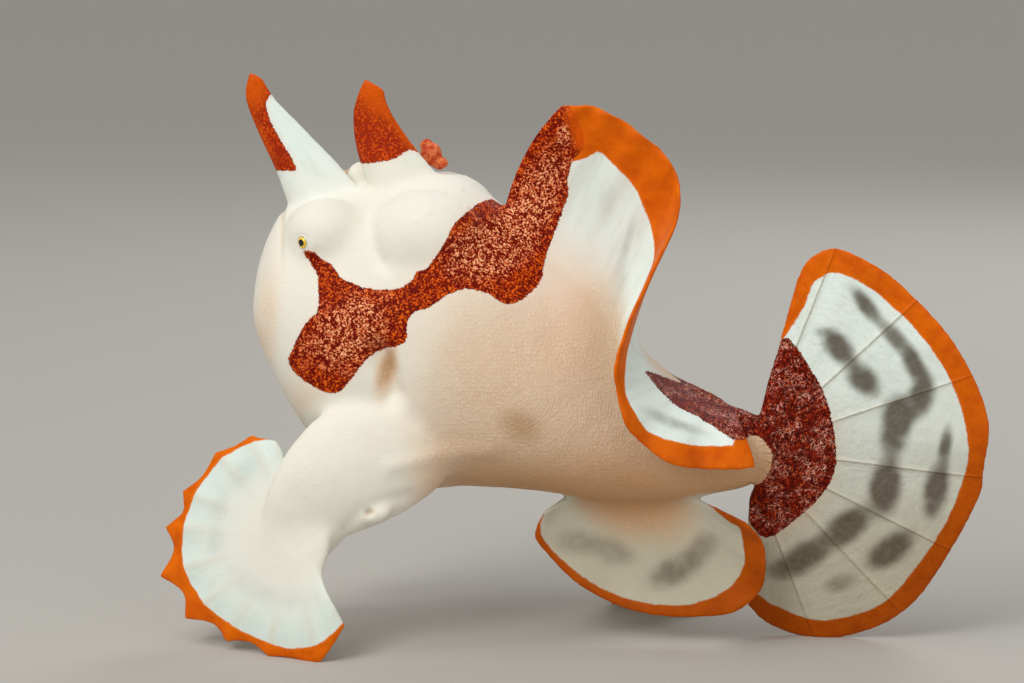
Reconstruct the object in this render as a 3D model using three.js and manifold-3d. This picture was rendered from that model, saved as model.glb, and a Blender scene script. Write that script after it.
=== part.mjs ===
// A young clown frogfish, life size, standing on its left pectoral fan, its right pectoral fan and the edge
// of its tail fin. Millimetres, +Z up, head towards -X, the fish's left side towards -Y.
import * as THREE from "three";
import { mergeVertices } from "three/addons/utils/BufferGeometryUtils.js";
import Module from "manifold-3d";

const wasm = await Module();
wasm.setup();

// Driving sizes
const LEAN = THREE.MathUtils.degToRad(8); // the fish leans its back towards its left side
const LEAN_AXIS_Z = 28; // height of the line it leans about
const GAP = 0.3; // between pieces that touch
const FIN_EDGE = 0.3; // half thickness of a fin at its margin
const EYE_RADIUS = 1.2;
const ROD_RADIUS = 0.3;
const HIP_CUT_X = 22; // trunk to tail stalk
const NECK_CUT_X = -8.5; // head to trunk

// The body's stations from the face to the end of the tail stalk, in the upright fish:
// [back x, back z, belly x, belly z, half width]
const STATIONS = [
  [-30.0, 46.3, -30.2, 36.5, 5.2],
  [-28.7, 49.3, -28.9, 33.1, 7.6],
  [-26.9, 52.0, -27.1, 29.6, 9.4],
  [-24.5, 53.2, -25.2, 26.4, 10.6],
  [-20.8, 54.1, -22.4, 22.5, 11.6],
  [-15.9, 55.0, -17.2, 19.5, 12.3],
  [-10.4, 56.2, -11.0, 17.9, 12.6],
  [-5.8, 56.2, -5.4, 18.4, 12.6],
  [-1.2, 53.2, 0.1, 18.4, 12.0],
  [3.9, 49.1, 5.6, 17.8, 10.6],
  [9.2, 43.7, 11.1, 17.0, 8.8],
  [13.8, 36.9, 16.6, 16.9, 6.8],
  [18.6, 32.2, 21.4, 17.4, 5.0],
  [23.3, 30.0, 25.3, 18.2, 3.7],
  [28.1, 28.4, 28.4, 19.1, 2.7],
  [30.8, 27.3, 30.8, 20.7, 1.7],
];
const FACE = [-31.3, 40.9];
const STALK_END = [31.8, 23.6];
const BACK_NARROWING = 0.1; // how much narrower the body is above than below
const BODY_RINGS = 26;
const BODY_SIDES = 24;

// Swellings of the head: the eye's dome and the shoulder hump, [x, y, z] and half sizes
const SWELLINGS = [
  { at: [-20.8, 4.9, 50.2], half: [4.8, 3.9, 4.5] },
  { at: [-8.8, 5.2, 49.3], half: [7.3, 4.9, 6.4] },
];
// A rounded fold between the free spines, on the right side only
const SPINE_FOLD = { at: [-18.2, 2.2, 55.1], half: [1.6, 1.4, 2.1] };
const EYE = [-22.9, 7.35, 50.0];

// The mouth's slit on the side of the head and the jaw's line down to the throat, [x, z]
const JAW_LINE = [
  [-26.3, 58],
  [-26.3, 52.2],
  [-25.3, 51],
  [-24.5, 48.6],
  [-23, 47],
  [-21.4, 45.6],
  [-21.2, 40],
  [-22.2, 33.7],
  [-24.2, 27],
  [-24.2, 15],
];

// The two free dorsal spines with the skin behind them: front and rear edges, [x, z] from the head up
const SPINE_2 = {
  front: [[-25.6, 50], [-26.6, 52.8], [-27.9, 56.8], [-29.9, 61.5], [-31.2, 65.6], [-30.6, 68.7]],
  rear: [[-15.5, 52], [-17.4, 54.3], [-20.6, 58.1], [-24.2, 61.9], [-27.4, 65.3], [-29.0, 67.9]],
  flesh: 2.0,
};
const SPINE_3 = {
  front: [[-15.9, 53], [-17.0, 56.2], [-18.0, 60.0], [-18.2, 63.6], [-17.5, 66.2], [-16.6, 68.0]],
  rear: [[-5.6, 53], [-7.9, 56.2], [-9.9, 58.6], [-12.2, 61.8], [-13.8, 64.6], [-14.3, 66.7]],
  flesh: 2.4,
};

// The dorsal fin's rays: where each leaves the back [x, z], its tip [x, y, z], and how far its middle is
// pushed off the straight line [x, y, z]. The front stands up, the rear folds over the left flank.
const DORSAL = [
  { root: [-0.2, 53.0], tip: [6.8, 0, 65.0], bend: [-0.8, 0, 0.6] },
  { root: [2.7, 50.5], tip: [10.1, 0, 65.1], bend: [-0.8, 0.2, 0.8] },
  { root: [5.3, 47.9], tip: [13.4, 0.4, 63.6], bend: [-0.5, 0.5, 0.8] },
  { root: [8.0, 45.2], tip: [17.2, 0.4, 60.8], bend: [0, 0.9, 0.6] },
  { root: [10.6, 42.2], tip: [19.9, -0.4, 58.0], bend: [0.4, 1.2, 0.4] },
  { root: [12.7, 39.0], tip: [20.8, -3.2, 53.4], bend: [0, 1.0, -0.4] },
  { root: [14.7, 35.8], tip: [18.4, -7.8, 47.6], bend: [-0.8, 0.2, -0.6] },
  { root: [16.8, 33.5], tip: [15.6, -11.4, 41.4], bend: [-0.6, -0.8, -0.2] },
  { root: [18.9, 31.6], tip: [14.4, -13.3, 35.9], bend: [0, -1.2, 0.6] },
  { root: [21.5, 30.2], tip: [16.4, -12.6, 28.8], bend: [0, -1.6, 1.6] },
  { root: [24.2, 29.0], tip: [22.2, -10.4, 24.4], bend: [0, -1.4, 1.6] },
  { root: [26.6, 28.2], tip: [30.0, -6.6, 23.4], bend: [0.2, -1.0, 1.2] },
];

// The anal fin's margin and root, [x, z], flared towards the left at its margin
const ANAL_MARGIN = [
  [4.4, 16.3], [3.2, 13.6], [4.5, 11.0], [8.4, 7.3], [13.2, 4.6], [20.5, 3.5], [26.5, 4.2],
  [30.2, 7.0], [31.0, 10.4], [30.6, 13.4], [28.6, 16.0],
];
const ANAL_ROOT = [[10.4, 19.4], [15.8, 19.4]];
const ANAL_FLARE = -4.4;

// The tail fin's margin from its top corner round to its bottom one, [x, z]
const TAIL_MARGIN = [
  [34.0, 44.2], [35.6, 46.9], [38.2, 48.1], [42.0, 46.9], [46.3, 43.8], [52.4, 37.2], [56.5, 28.4],
  [56.3, 21.8], [55.4, 17.1], [50.0, 6.6], [46.1, 2.4], [41.3, -0.1], [36.4, -0.8], [31.2, 0.5], [28.2, 3.2],
];
const TAIL_ROOT = [[29.9, 28.2], [31.4, 24.0], [28.6, 17.6]];
const TAIL_CUP = 1.6; // how far the tail's rear edge bends to the right

// Arms: stations [x, y, z, half width, half thickness] from the shoulder to the palm, in the leaning fish
const LEFT_ARM = [
  [-6.4, -5.0, 27.6, 6.2, 5.0],
  [-11.4, -9.3, 25.4, 7.3, 4.4],
  [-15.3, -11.4, 23.1, 7.5, 3.6],
  [-18.9, -12.8, 20.5, 6.9, 2.9],
  [-21.4, -13.3, 17.7, 5.9, 2.2],
  [-22.6, -13.3, 15.1, 5.0, 1.7],
  [-23.2, -13.3, 12.8, 4.2, 1.4],
  [-23.4, -13.3, 10.4, 2.9, 1.1],
];
// The flat palm that the left arm spreads into: half sizes ahead, outwards and up in the fan's own plane
const LEFT_PALM = { at: [-25.1, -13.3, 14.0], half: [6.0, 1.6, 6.8], rim: [5.0, 5.8] };
const RIGHT_ARM = [
  [-6.0, 6.0, 27.5, 6.2, 4.6],
  [-1.0, 10.6, 26.0, 6.2, 4.0],
  [4.5, 13.2, 23.4, 5.8, 3.3],
  [9.5, 14.8, 19.8, 5.2, 2.7],
  [13.2, 15.6, 15.6, 4.6, 2.1],
  [15.0, 15.8, 12.0, 4.0, 1.6],
  [15.6, 15.9, 9.4, 3.2, 1.2],
];
// The gill opening's rim behind the left arm and its mirror place behind the right one
const GILLS = {
  left: { at: [-14.6, -13.6, 17.4], half: [2.7, 1.0, 1.6] },
  right: { at: [7.2, 15.4, 17.0], half: [1.4, 1.0, 1.9] },
};
const GILL_PORE = 0.45;

// Left pectoral fan: rays round the palm, [angle in degrees above the forward axis, length]
const LEFT_FAN = {
  palm: [-23.6, -13.2, 14.2],
  forward: [-0.965, 0.261, 0],
  up: [0.049, 0.183, 0.982],
  rays: [
    [78, 10.0], [72, 11.9], [58, 13.4], [37, 14.8], [14, 16.4], [-2, 18.0], [-20, 19.3], [-39, 18.2],
    [-59, 15.8], [-82, 14.9], [-107, 15.5], [-128, 12.6],
  ],
  palmRadius: 3.8,
  palmSpread: 1.25, // the rays' roots spread round the palm by this much more than their tips
};
// Right pectoral fan, set down as a foot: rays fall from the palm to an oval footprint on the floor
const RIGHT_FAN = {
  palm: [15.2, 15.4, 10.4],
  print: [16.2, 17.4], // centre of the footprint
  halfPrint: [6.2, 9.6],
  turn: 104, // degrees of footprint on each side of straight out
  rays: 10,
  palmRadius: 3.2,
};
// How far the margin falls back between two rays, as a part of the ray
const SCALLOP = 0.07;
const LEFT_FAN_SCALLOP = { least: 0.03, deepest: 0.11, at: 0.56, width: 0.24 };

// Pelvic fins under the throat, in the upright fish: root, ray tips from front to rear
const PELVIC = {
  root: [-21.2, 3.4, 25.2],
  rootHalf: 2.2,
  tips: [[-29.6, 4.6, 15.6], [-29.0, 5.8, 11.2], [-26.6, 6.4, 8.4], [-23.8, 6.4, 8.8], [-22.6, 5.6, 12.4]],
};

// The lure, folded back along the right side of the free spines
const ROD = [
  [-25.6, 2.8, 51.2], [-25.2, 3.9, 54.0], [-22.5, 4.6, 55.2], [-18.0, 4.6, 56.1], [-14.2, 4.1, 57.3], [-10.4, 3.3, 58.4],
];
const LURE = {
  body: { at: [-9.6, 3.2, 58.3], half: [1.3, 0.8, 1.5] },
  tail: { at: [-8.6, 3.0, 57.3], half: [1.1, 0.45, 0.8] },
  fins: { at: [-10.1, 3.2, 59.3], half: [0.8, 0.4, 0.9] },
};

// Materials
const finish = (color, roughness) => new THREE.MeshStandardMaterial({ color, roughness, metalness: 0 });
const WHITE_SKIN = finish(0xe9e4da, 0.55);
const CREAM_SKIN = finish(0xdccdbd, 0.6);
const FIN_SKIN = finish(0xdfe5e3, 0.5);
const ORANGE_FIN = finish(0xd8641c, 0.5);
const RED_SKIN = finish(0xa8301c, 0.6);
const EYE_GOLD = finish(0x8a6a28, 0.1);
const LURE_PINK = finish(0xd8a596, 0.6);

const X_AXIS = new THREE.Vector3(1, 0, 0);
const lean = new THREE.Matrix4()
  .makeTranslation(0, 0, LEAN_AXIS_Z)
  .multiply(new THREE.Matrix4().makeRotationAxis(X_AXIS, LEAN))
  .multiply(new THREE.Matrix4().makeTranslation(0, 0, -LEAN_AXIS_Z));

// A point of the upright fish, moved to where it is in the leaning one
const leaned = (x, y, z) => new THREE.Vector3(x, y, z).applyMatrix4(lean);

// A smooth line through rows of numbers: at(t) gives the row at t, from 0 to 1
function rowsCurve(rows) {
  const width = rows[0].length;
  const pieces = [];
  for (let i = 0; i < width; i += 3) {
    const points = rows.map((row) => new THREE.Vector3(row[i], row[i + 1] ?? 0, row[i + 2] ?? 0));
    pieces.push(new THREE.CatmullRomCurve3(points, false, "catmullrom", 0.5));
  }
  return (t) => pieces.flatMap((piece) => piece.getPoint(t).toArray()).slice(0, width);
}

function geometryOf(points, triangles) {
  const geometry = new THREE.BufferGeometry();
  geometry.setAttribute("position", new THREE.Float32BufferAttribute(points.flatMap((p) => p.toArray()), 3));
  geometry.setIndex(triangles);
  return geometry;
}

// A solid of a closed geometry, turned the right way out
function solidOf(geometry) {
  const bare = geometry.clone();
  bare.deleteAttribute("normal");
  bare.deleteAttribute("uv");
  const merged = mergeVertices(bare, 1e-4);
  const vertProperties = merged.attributes.position.array;
  const triVerts = new Uint32Array(merged.index.array);
  const made = new wasm.Manifold(new wasm.Mesh({ numProp: 3, vertProperties, triVerts }));
  if (made.volume() > 0) return made;
  for (let i = 0; i < triVerts.length; i += 3) {
    [triVerts[i + 1], triVerts[i + 2]] = [triVerts[i + 2], triVerts[i + 1]];
  }
  return new wasm.Manifold(new wasm.Mesh({ numProp: 3, vertProperties, triVerts }));
}

// The largest of a solid's separate bodies
function largest(solid) {
  return solid.decompose().reduce((best, body) => (body.volume() > best.volume() ? body : best));
}

// A closed skin over rings of points, drawn together to one point at each end
function ringsSolid(rings, start, end) {
  const sides = rings[0].length;
  const points = [start, ...rings.flat(), end];
  const last = points.length - 1;
  const at = (ring, side) => 1 + ring * sides + (side % sides);
  const triangles = [];
  for (let side = 0; side < sides; side += 1) {
    triangles.push(0, at(0, side + 1), at(0, side));
    triangles.push(last, at(rings.length - 1, side), at(rings.length - 1, side + 1));
    for (let ring = 0; ring < rings.length - 1; ring += 1) {
      triangles.push(at(ring, side), at(ring, side + 1), at(ring + 1, side));
      triangles.push(at(ring, side + 1), at(ring + 1, side + 1), at(ring + 1, side));
    }
  }
  return solidOf(geometryOf(points, triangles));
}

// A closed sheet about the surface place(u, v), half(u, v) thick to each side of it
function sheetSolid(place, half, across, along) {
  const step = 1e-3;
  const faces = [1, -1].map((sign) => {
    const points = [];
    for (let i = 0; i <= across; i += 1) {
      for (let j = 0; j <= along; j += 1) {
        const u = i / across;
        const v = j / along;
        const alongU = place(Math.min(1, u + step), v).sub(place(Math.max(0, u - step), v));
        const alongV = place(u, Math.min(1, v + step)).sub(place(u, Math.max(0, v - step)));
        const normal = alongU.cross(alongV).normalize();
        points.push(place(u, v).addScaledVector(normal, sign * half(u, v)));
      }
    }
    return points;
  });
  const row = along + 1;
  const count = (across + 1) * row;
  const triangles = [];
  const quad = (a, b, c, d) => triangles.push(a, b, c, a, c, d);
  for (let i = 0; i < across; i += 1) {
    for (let j = 0; j < along; j += 1) {
      const a = i * row + j;
      quad(a, a + row, a + row + 1, a + 1);
      quad(count + a, count + a + 1, count + a + row + 1, count + a + row);
    }
  }
  for (let i = 0; i < across; i += 1) {
    const a = i * row;
    const b = a + along;
    quad(a, count + a, count + a + row, a + row);
    quad(b, b + row, count + b + row, count + b);
  }
  for (let j = 0; j < along; j += 1) {
    const b = across * row + j;
    quad(j, j + 1, count + j + 1, count + j);
    quad(b, count + b, count + b + 1, b + 1);
  }
  return solidOf(geometryOf(faces.flat(), triangles));
}

function ellipsoid(at, half, grow, sides) {
  const shape = new THREE.SphereGeometry(1, sides, Math.round(sides * 0.6));
  shape.scale(half[0] + grow, half[1] + grow, half[2] + grow);
  shape.translate(...at);
  return shape;
}

function boxSolid(low, high) {
  const size = high.map((value, i) => value - low[i]);
  const box = new THREE.BoxGeometry(...size);
  box.translate(...low.map((value, i) => value + size[i] / 2));
  return solidOf(box);
}

const FAR = 120; // past the fish on every side
const between = (x0, x1) => boxSolid([x0, -FAR, -FAR], [x1, FAR, FAR]);
const aboveFloor = boxSolid([-FAR, -FAR, 0], [FAR, FAR, FAR]);

// The body with its swellings, grown outwards by a margin
function bodySolid(grow) {
  const station = rowsCurve(STATIONS);
  const rings = [];
  for (let i = 0; i <= BODY_RINGS; i += 1) {
    const [backX, backZ, bellyX, bellyZ, halfWidth] = station(i / BODY_RINGS);
    const middle = new THREE.Vector2((backX + bellyX) / 2, (backZ + bellyZ) / 2);
    const up = new THREE.Vector2(backX - bellyX, backZ - bellyZ).multiplyScalar(0.5);
    const stretch = 1 + grow / up.length();
    const ring = [];
    for (let k = 0; k < BODY_SIDES; k += 1) {
      const turn = (2 * Math.PI * k) / BODY_SIDES;
      const rise = Math.cos(turn) * stretch;
      const y = (halfWidth * (1 - BACK_NARROWING * Math.cos(turn)) + grow) * Math.sin(turn);
      ring.push(leaned(middle.x + up.x * rise, y, middle.y + up.y * rise));
    }
    rings.push(ring);
  }
  const face = leaned(FACE[0] - grow, 0, FACE[1]);
  const end = leaned(STALK_END[0] + grow, 0, STALK_END[1]);
  let body = ringsSolid(rings, face, end);
  for (const { at, half } of SWELLINGS) {
    for (const side of [-1, 1]) {
      const lump = ellipsoid([at[0], side * at[1], at[2]], half, grow, 12).applyMatrix4(lean);
      body = body.add(solidOf(lump));
    }
  }
  const fold = ellipsoid(SPINE_FOLD.at, SPINE_FOLD.half, grow, 8).applyMatrix4(lean);
  return body.add(solidOf(fold));
}

// A prism across the fish, from an outline in its middle plane
function prism(outline) {
  const shape = new THREE.Shape(outline.map(([x, z]) => new THREE.Vector2(x, z)));
  const block = new THREE.ExtrudeGeometry(shape, { depth: 2 * FAR, bevelEnabled: false });
  block.rotateX(Math.PI / 2);
  block.translate(0, FAR, 0);
  return solidOf(block.applyMatrix4(lean));
}

function spineSolid({ front, rear, flesh }) {
  const frontAt = rowsCurve(front);
  const rearAt = rowsCurve(rear);
  const place = (u, v) => {
    const [frontX, frontZ] = frontAt(v);
    const [rearX, rearZ] = rearAt(v);
    return leaned(frontX + (rearX - frontX) * u, 0, frontZ + (rearZ - frontZ) * u);
  };
  // Thickest a little behind the front edge, and thin at the rear edge and the tip
  const half = (u, v) => {
    const across = Math.sin(Math.PI * u ** 0.7);
    const taper = (1 - v) ** 1.3;
    return FIN_EDGE + across * (0.5 + flesh * taper) * (1 - 0.6 * v);
  };
  return sheetSolid(place, half, 6, 9);
}

function dorsalSolid() {
  const ray = rowsCurve(DORSAL.map(({ root, tip, bend }) => [...root, 0, ...tip, ...bend]));
  const place = (u, v) => {
    const [rootX, rootZ, , tipX, tipY, tipZ, bendX, bendY, bendZ] = ray(u);
    const inner = v * 1.1 - 0.1; // the fin starts a little inside the back
    const push = 4 * inner * (1 - inner) * (inner > 0 ? 1 : 0);
    return leaned(
      rootX + (tipX - rootX) * inner + bendX * push,
      tipY * inner + bendY * push,
      rootZ + (tipZ - rootZ) * inner + bendZ * push,
    );
  };
  const half = (u, v) => {
    const flesh = Math.max(0, 1 - v / 0.42) ** 1.6;
    const edge = Math.min(1, u / 0.06, (1 - u) / 0.06);
    return FIN_EDGE + flesh * (0.5 + 1.8 * (1 - u) ** 1.4) * edge;
  };
  return sheetSolid(place, half, 25, 5);
}

function analSolid() {
  const margin = rowsCurve(ANAL_MARGIN);
  const place = (u, v) => {
    const [marginX, marginZ] = margin(u);
    const rootX = ANAL_ROOT[0][0] + (ANAL_ROOT[1][0] - ANAL_ROOT[0][0]) * u;
    const rootZ = ANAL_ROOT[0][1];
    const drop = v ** 1.8;
    return leaned(rootX + (marginX - rootX) * v, ANAL_FLARE * drop, rootZ + (marginZ - rootZ) * v);
  };
  const half = (u, v) => FIN_EDGE + 1.5 * Math.max(0, 1 - v / 0.7) ** 1.5 * Math.sin(Math.PI * (0.1 + 0.8 * u));
  return sheetSolid(place, half, 16, 4);
}

function tailSolid() {
  const margin = rowsCurve(TAIL_MARGIN);
  const root = rowsCurve(TAIL_ROOT);
  const place = (u, v) => {
    const [marginX, marginZ] = margin(u);
    const [rootX, rootZ] = root(u);
    return leaned(rootX + (marginX - rootX) * v, TAIL_CUP * v * v, rootZ + (marginZ - rootZ) * v);
  };
  const half = (u, v) => FIN_EDGE + 1.3 * Math.max(0, 1 - v / 0.5) ** 1.6;
  return sheetSolid(place, half, 29, 4);
}

// An arm of oval sections, wide in the fin's plane and flat across it
function armSolid(stations, outward, grow) {
  const at = rowsCurve(stations);
  const rings = [];
  const count = 12;
  const sides = 12;
  for (let i = 0; i <= count; i += 1) {
    const t = i / count;
    const [x, y, z, halfWidth, halfThickness] = at(t);
    const [aheadX, aheadY, aheadZ] = at(Math.min(1, t + 0.02));
    const [backX, backY, backZ] = at(Math.max(0, t - 0.02));
    const along = new THREE.Vector3(aheadX - backX, aheadY - backY, aheadZ - backZ).normalize();
    const wide = along.clone().cross(outward).normalize();
    const thick = wide.clone().cross(along).normalize();
    const round = Math.sqrt(Math.max(0.12, 1 - (2 * t - 1) ** 12)); // closes both ends bluntly
    const ring = [];
    for (let k = 0; k < sides; k += 1) {
      const turn = (2 * Math.PI * k) / sides;
      const point = new THREE.Vector3(x, y, z);
      point.addScaledVector(wide, (halfWidth * round + grow) * Math.cos(turn));
      point.addScaledVector(thick, (halfThickness * round + grow) * Math.sin(turn));
      ring.push(point);
    }
    rings.push(ring);
  }
  const ends = [rings[0], rings[count]].map((ring) => {
    const sum = ring.reduce((total, point) => total.add(point), new THREE.Vector3());
    return sum.multiplyScalar(1 / sides);
  });
  return ringsSolid(rings, ...ends);
}

// How far the margin reaches at u: it falls back between one ray and the next
const scallop = (u, rays, depth = SCALLOP) => 1 - depth * Math.abs(Math.sin(Math.PI * u * (rays - 1)));

const fanHalf = (u, v) => FIN_EDGE + 1.1 * Math.max(0, 1 - v / 0.5) ** 1.5;

// The left fan's own directions: ahead, outwards and up
function leftFanAxes() {
  const ahead = new THREE.Vector3(...LEFT_FAN.forward);
  const above = new THREE.Vector3(...LEFT_FAN.up);
  return { ahead, above, outward: above.clone().cross(ahead).normalize() };
}

// An oval plug through the left fan's plane, and the palm itself, which is a lens with that plug's rim
function leftPalmPlug(grow) {
  const { ahead, outward, above } = leftFanAxes();
  const [halfAhead, halfUp] = LEFT_PALM.rim;
  const depth = 4 * LEFT_PALM.half[1];
  const plug = ellipsoid([0, 0, 0], [halfAhead, depth, halfUp], grow, 12);
  plug.applyMatrix4(new THREE.Matrix4().makeBasis(ahead, outward, above)).translate(...LEFT_PALM.at);
  return solidOf(plug);
}

function leftPalmSolid() {
  const { ahead, outward, above } = leftFanAxes();
  const lens = ellipsoid([0, 0, 0], LEFT_PALM.half, 0, 10);
  lens.applyMatrix4(new THREE.Matrix4().makeBasis(ahead, outward, above)).translate(...LEFT_PALM.at);
  return solidOf(lens).intersect(leftPalmPlug(0));
}

function leftFanSolid() {
  const { palm, rays, palmRadius, palmSpread } = LEFT_FAN;
  const ray = rowsCurve(rays);
  const centre = new THREE.Vector3(...palm);
  const { ahead, outward, above } = leftFanAxes();
  const place = (u, v) => {
    const [angle, length] = ray(u);
    const tipTurn = THREE.MathUtils.degToRad(angle);
    const { least, deepest, at, width } = LEFT_FAN_SCALLOP;
    const depth = least + (deepest - least) * Math.exp(-(((u - at) / width) ** 2));
    const tip = length * scallop(u, rays.length, depth);
    const rootTurn = tipTurn * palmSpread;
    const cup = 0.9 * Math.sin(Math.PI * v);
    return centre
      .clone()
      .addScaledVector(ahead, palmRadius * Math.cos(rootTurn) * (1 - v) + tip * Math.cos(tipTurn) * v)
      .addScaledVector(above, palmRadius * Math.sin(rootTurn) * (1 - v) + tip * Math.sin(tipTurn) * v)
      .addScaledVector(outward, cup);
  };
  return sheetSolid(place, fanHalf, 33, 4);
}

function rightFanSolid() {
  const { palm, print, halfPrint, turn, rays, palmRadius } = RIGHT_FAN;
  const sink = -0.35; // the tips reach this far below the floor before they are cut flat
  const place = (u, v) => {
    const angle = THREE.MathUtils.degToRad(turn * (2 * u - 1));
    const sideways = Math.sin(angle);
    const outwards = Math.cos(angle);
    const lift = 1 - scallop(u, rays);
    const reach = 1 - lift;
    const foot = new THREE.Vector3(
      print[0] + halfPrint[0] * sideways * reach,
      print[1] + halfPrint[1] * outwards * reach,
      sink + 9 * lift,
    );
    const wrist = new THREE.Vector3(
      palm[0] + palmRadius * sideways,
      palm[1] + palmRadius * 0.6 * outwards,
      palm[2] - 1.2,
    );
    const point = wrist.lerp(foot, v);
    point.z += 0.8 * Math.sin(Math.PI * v);
    return point;
  };
  return sheetSolid(place, fanHalf, 27, 3);
}

function pelvicSolid(side) {
  const { root, rootHalf, tips } = PELVIC;
  const tip = rowsCurve(tips);
  const place = (u, v) => {
    const [tipX, tipY, tipZ] = tip(u);
    const from = new THREE.Vector3(root[0] + rootHalf * (2 * u - 1), root[1], root[2]);
    const edge = scallop(u, tips.length);
    const point = from.lerp(new THREE.Vector3(tipX, tipY, tipZ), v * edge);
    return leaned(point.x, side * point.y, point.z);
  };
  return sheetSolid(place, (u, v) => FIN_EDGE + 1.0 * Math.max(0, 1 - v / 0.6) ** 1.4, 10, 4);
}

function rodSolid(grow) {
  const path = new THREE.CatmullRomCurve3(ROD.map((point) => leaned(...point)));
  const ring = new THREE.Shape().absarc(0, 0, ROD_RADIUS + grow, 0, 2 * Math.PI);
  const options = { steps: 12, curveSegments: 3, extrudePath: path, bevelEnabled: false };
  return solidOf(new THREE.ExtrudeGeometry(ring, options));
}

function lureSolid() {
  return Object.values(LURE)
    .map(({ at, half }) => solidOf(ellipsoid(at, half, 0, 8).applyMatrix4(lean)))
    .reduce((whole, piece) => whole.add(piece));
}

function gillSolid({ at, half }, outward) {
  const rim = solidOf(ellipsoid(at, half, 0, 8));
  const mouth = new THREE.Vector3(...at).addScaledVector(outward, half[1]);
  return { rim, pore: solidOf(ellipsoid(mouth.toArray(), [GILL_PORE, GILL_PORE, GILL_PORE], 0, 8)) };
}

// The whole body, then its cuts
const body = bodySolid(0);
const bodyAndGap = bodySolid(GAP);
const eyes = {};
const sockets = [];
for (const [name, side] of [["eye_left", -1], ["eye_right", 1]]) {
  const at = [EYE[0], side * EYE[1], EYE[2]];
  const ball = [EYE_RADIUS, EYE_RADIUS, EYE_RADIUS];
  eyes[name] = solidOf(ellipsoid(at, ball, 0, 10).applyMatrix4(lean));
  sockets.push(solidOf(ellipsoid(at, ball, GAP, 10).applyMatrix4(lean)));
}
const frontOfBody = body.intersect(between(-FAR, NECK_CUT_X - GAP / 2)).subtract(sockets[0]).subtract(sockets[1]);
const cutJaw = (shift) => prism([[-FAR, 58], ...JAW_LINE.map(([x, z]) => [x + shift, z]), [-FAR, 15]]);
const jaw = largest(frontOfBody.intersect(cutJaw(-GAP / 2)));
const head = largest(frontOfBody.subtract(cutJaw(GAP / 2)));
const trunk = body.intersect(between(NECK_CUT_X + GAP / 2, HIP_CUT_X - GAP / 2));
const stalk = body.intersect(between(HIP_CUT_X + GAP / 2, FAR));

const toLeft = new THREE.Vector3(0.2, -1, 0.05).normalize();
const toRight = new THREE.Vector3(0.75, 0.6, 0.2).normalize();
const gills = { left: gillSolid(GILLS.left, toLeft), right: gillSolid(GILLS.right, toRight) };
const clearOfBody = (solid) => largest(solid.subtract(bodyAndGap));
const leftArm = armSolid(LEFT_ARM, toLeft, 0)
  .add(leftPalmSolid())
  .add(gills.left.rim)
  .subtract(gills.left.pore);
const rightArm = armSolid(RIGHT_ARM, toRight, 0).add(gills.right.rim).subtract(gills.right.pore);
const leftArmAndGap = armSolid(LEFT_ARM, toLeft, GAP).add(leftPalmPlug(GAP));
const rightArmAndGap = armSolid(RIGHT_ARM, toRight, GAP);

const solids = {
  head: [head, WHITE_SKIN],
  lower_jaw: [jaw, WHITE_SKIN],
  trunk: [trunk, CREAM_SKIN],
  tail_stalk: [stalk, RED_SKIN],
  eye_left: [eyes.eye_left, EYE_GOLD],
  eye_right: [eyes.eye_right, EYE_GOLD],
  spine_second: [clearOfBody(spineSolid(SPINE_2)), RED_SKIN],
  spine_third: [clearOfBody(spineSolid(SPINE_3)), RED_SKIN],
  dorsal_fin: [clearOfBody(dorsalSolid()), ORANGE_FIN],
  anal_fin: [clearOfBody(analSolid()), FIN_SKIN],
  tail_fin: [largest(tailSolid().subtract(bodyAndGap).intersect(aboveFloor)), FIN_SKIN],
  arm_left: [clearOfBody(leftArm), WHITE_SKIN],
  arm_right: [clearOfBody(rightArm), WHITE_SKIN],
  pectoral_fan_left: [largest(leftFanSolid().subtract(leftArmAndGap).intersect(aboveFloor)), FIN_SKIN],
  pectoral_fan_right: [largest(rightFanSolid().subtract(rightArmAndGap).intersect(aboveFloor)), FIN_SKIN],
  pelvic_fin_left: [clearOfBody(pelvicSolid(-1)), FIN_SKIN],
  pelvic_fin_right: [clearOfBody(pelvicSolid(1)), FIN_SKIN],
  lure_rod: [clearOfBody(rodSolid(0)), LURE_PINK],
  lure: [largest(lureSolid().subtract(rodSolid(GAP))), LURE_PINK],
};

const fish = new THREE.Group();
for (const [name, [solid, material]] of Object.entries(solids)) {
  const { vertProperties, triVerts } = solid.getMesh();
  const geometry = new THREE.BufferGeometry();
  geometry.setAttribute("position", new THREE.Float32BufferAttribute(vertProperties, 3));
  geometry.setIndex(new THREE.Uint32BufferAttribute(triVerts, 1));
  geometry.computeVertexNormals();
  const mesh = new THREE.Mesh(geometry, material);
  mesh.name = name;
  fish.add(mesh);
}

// The part's origin is on the floor under the middle of the whole fish
const middle = new THREE.Box3().setFromObject(fish).getCenter(new THREE.Vector3());
fish.position.set(-middle.x, -middle.y, 0);

export default fish;
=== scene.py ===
import math

import bmesh
import bpy
import numpy as np
from mathutils import Matrix, Vector
from mathutils.kdtree import KDTree


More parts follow.
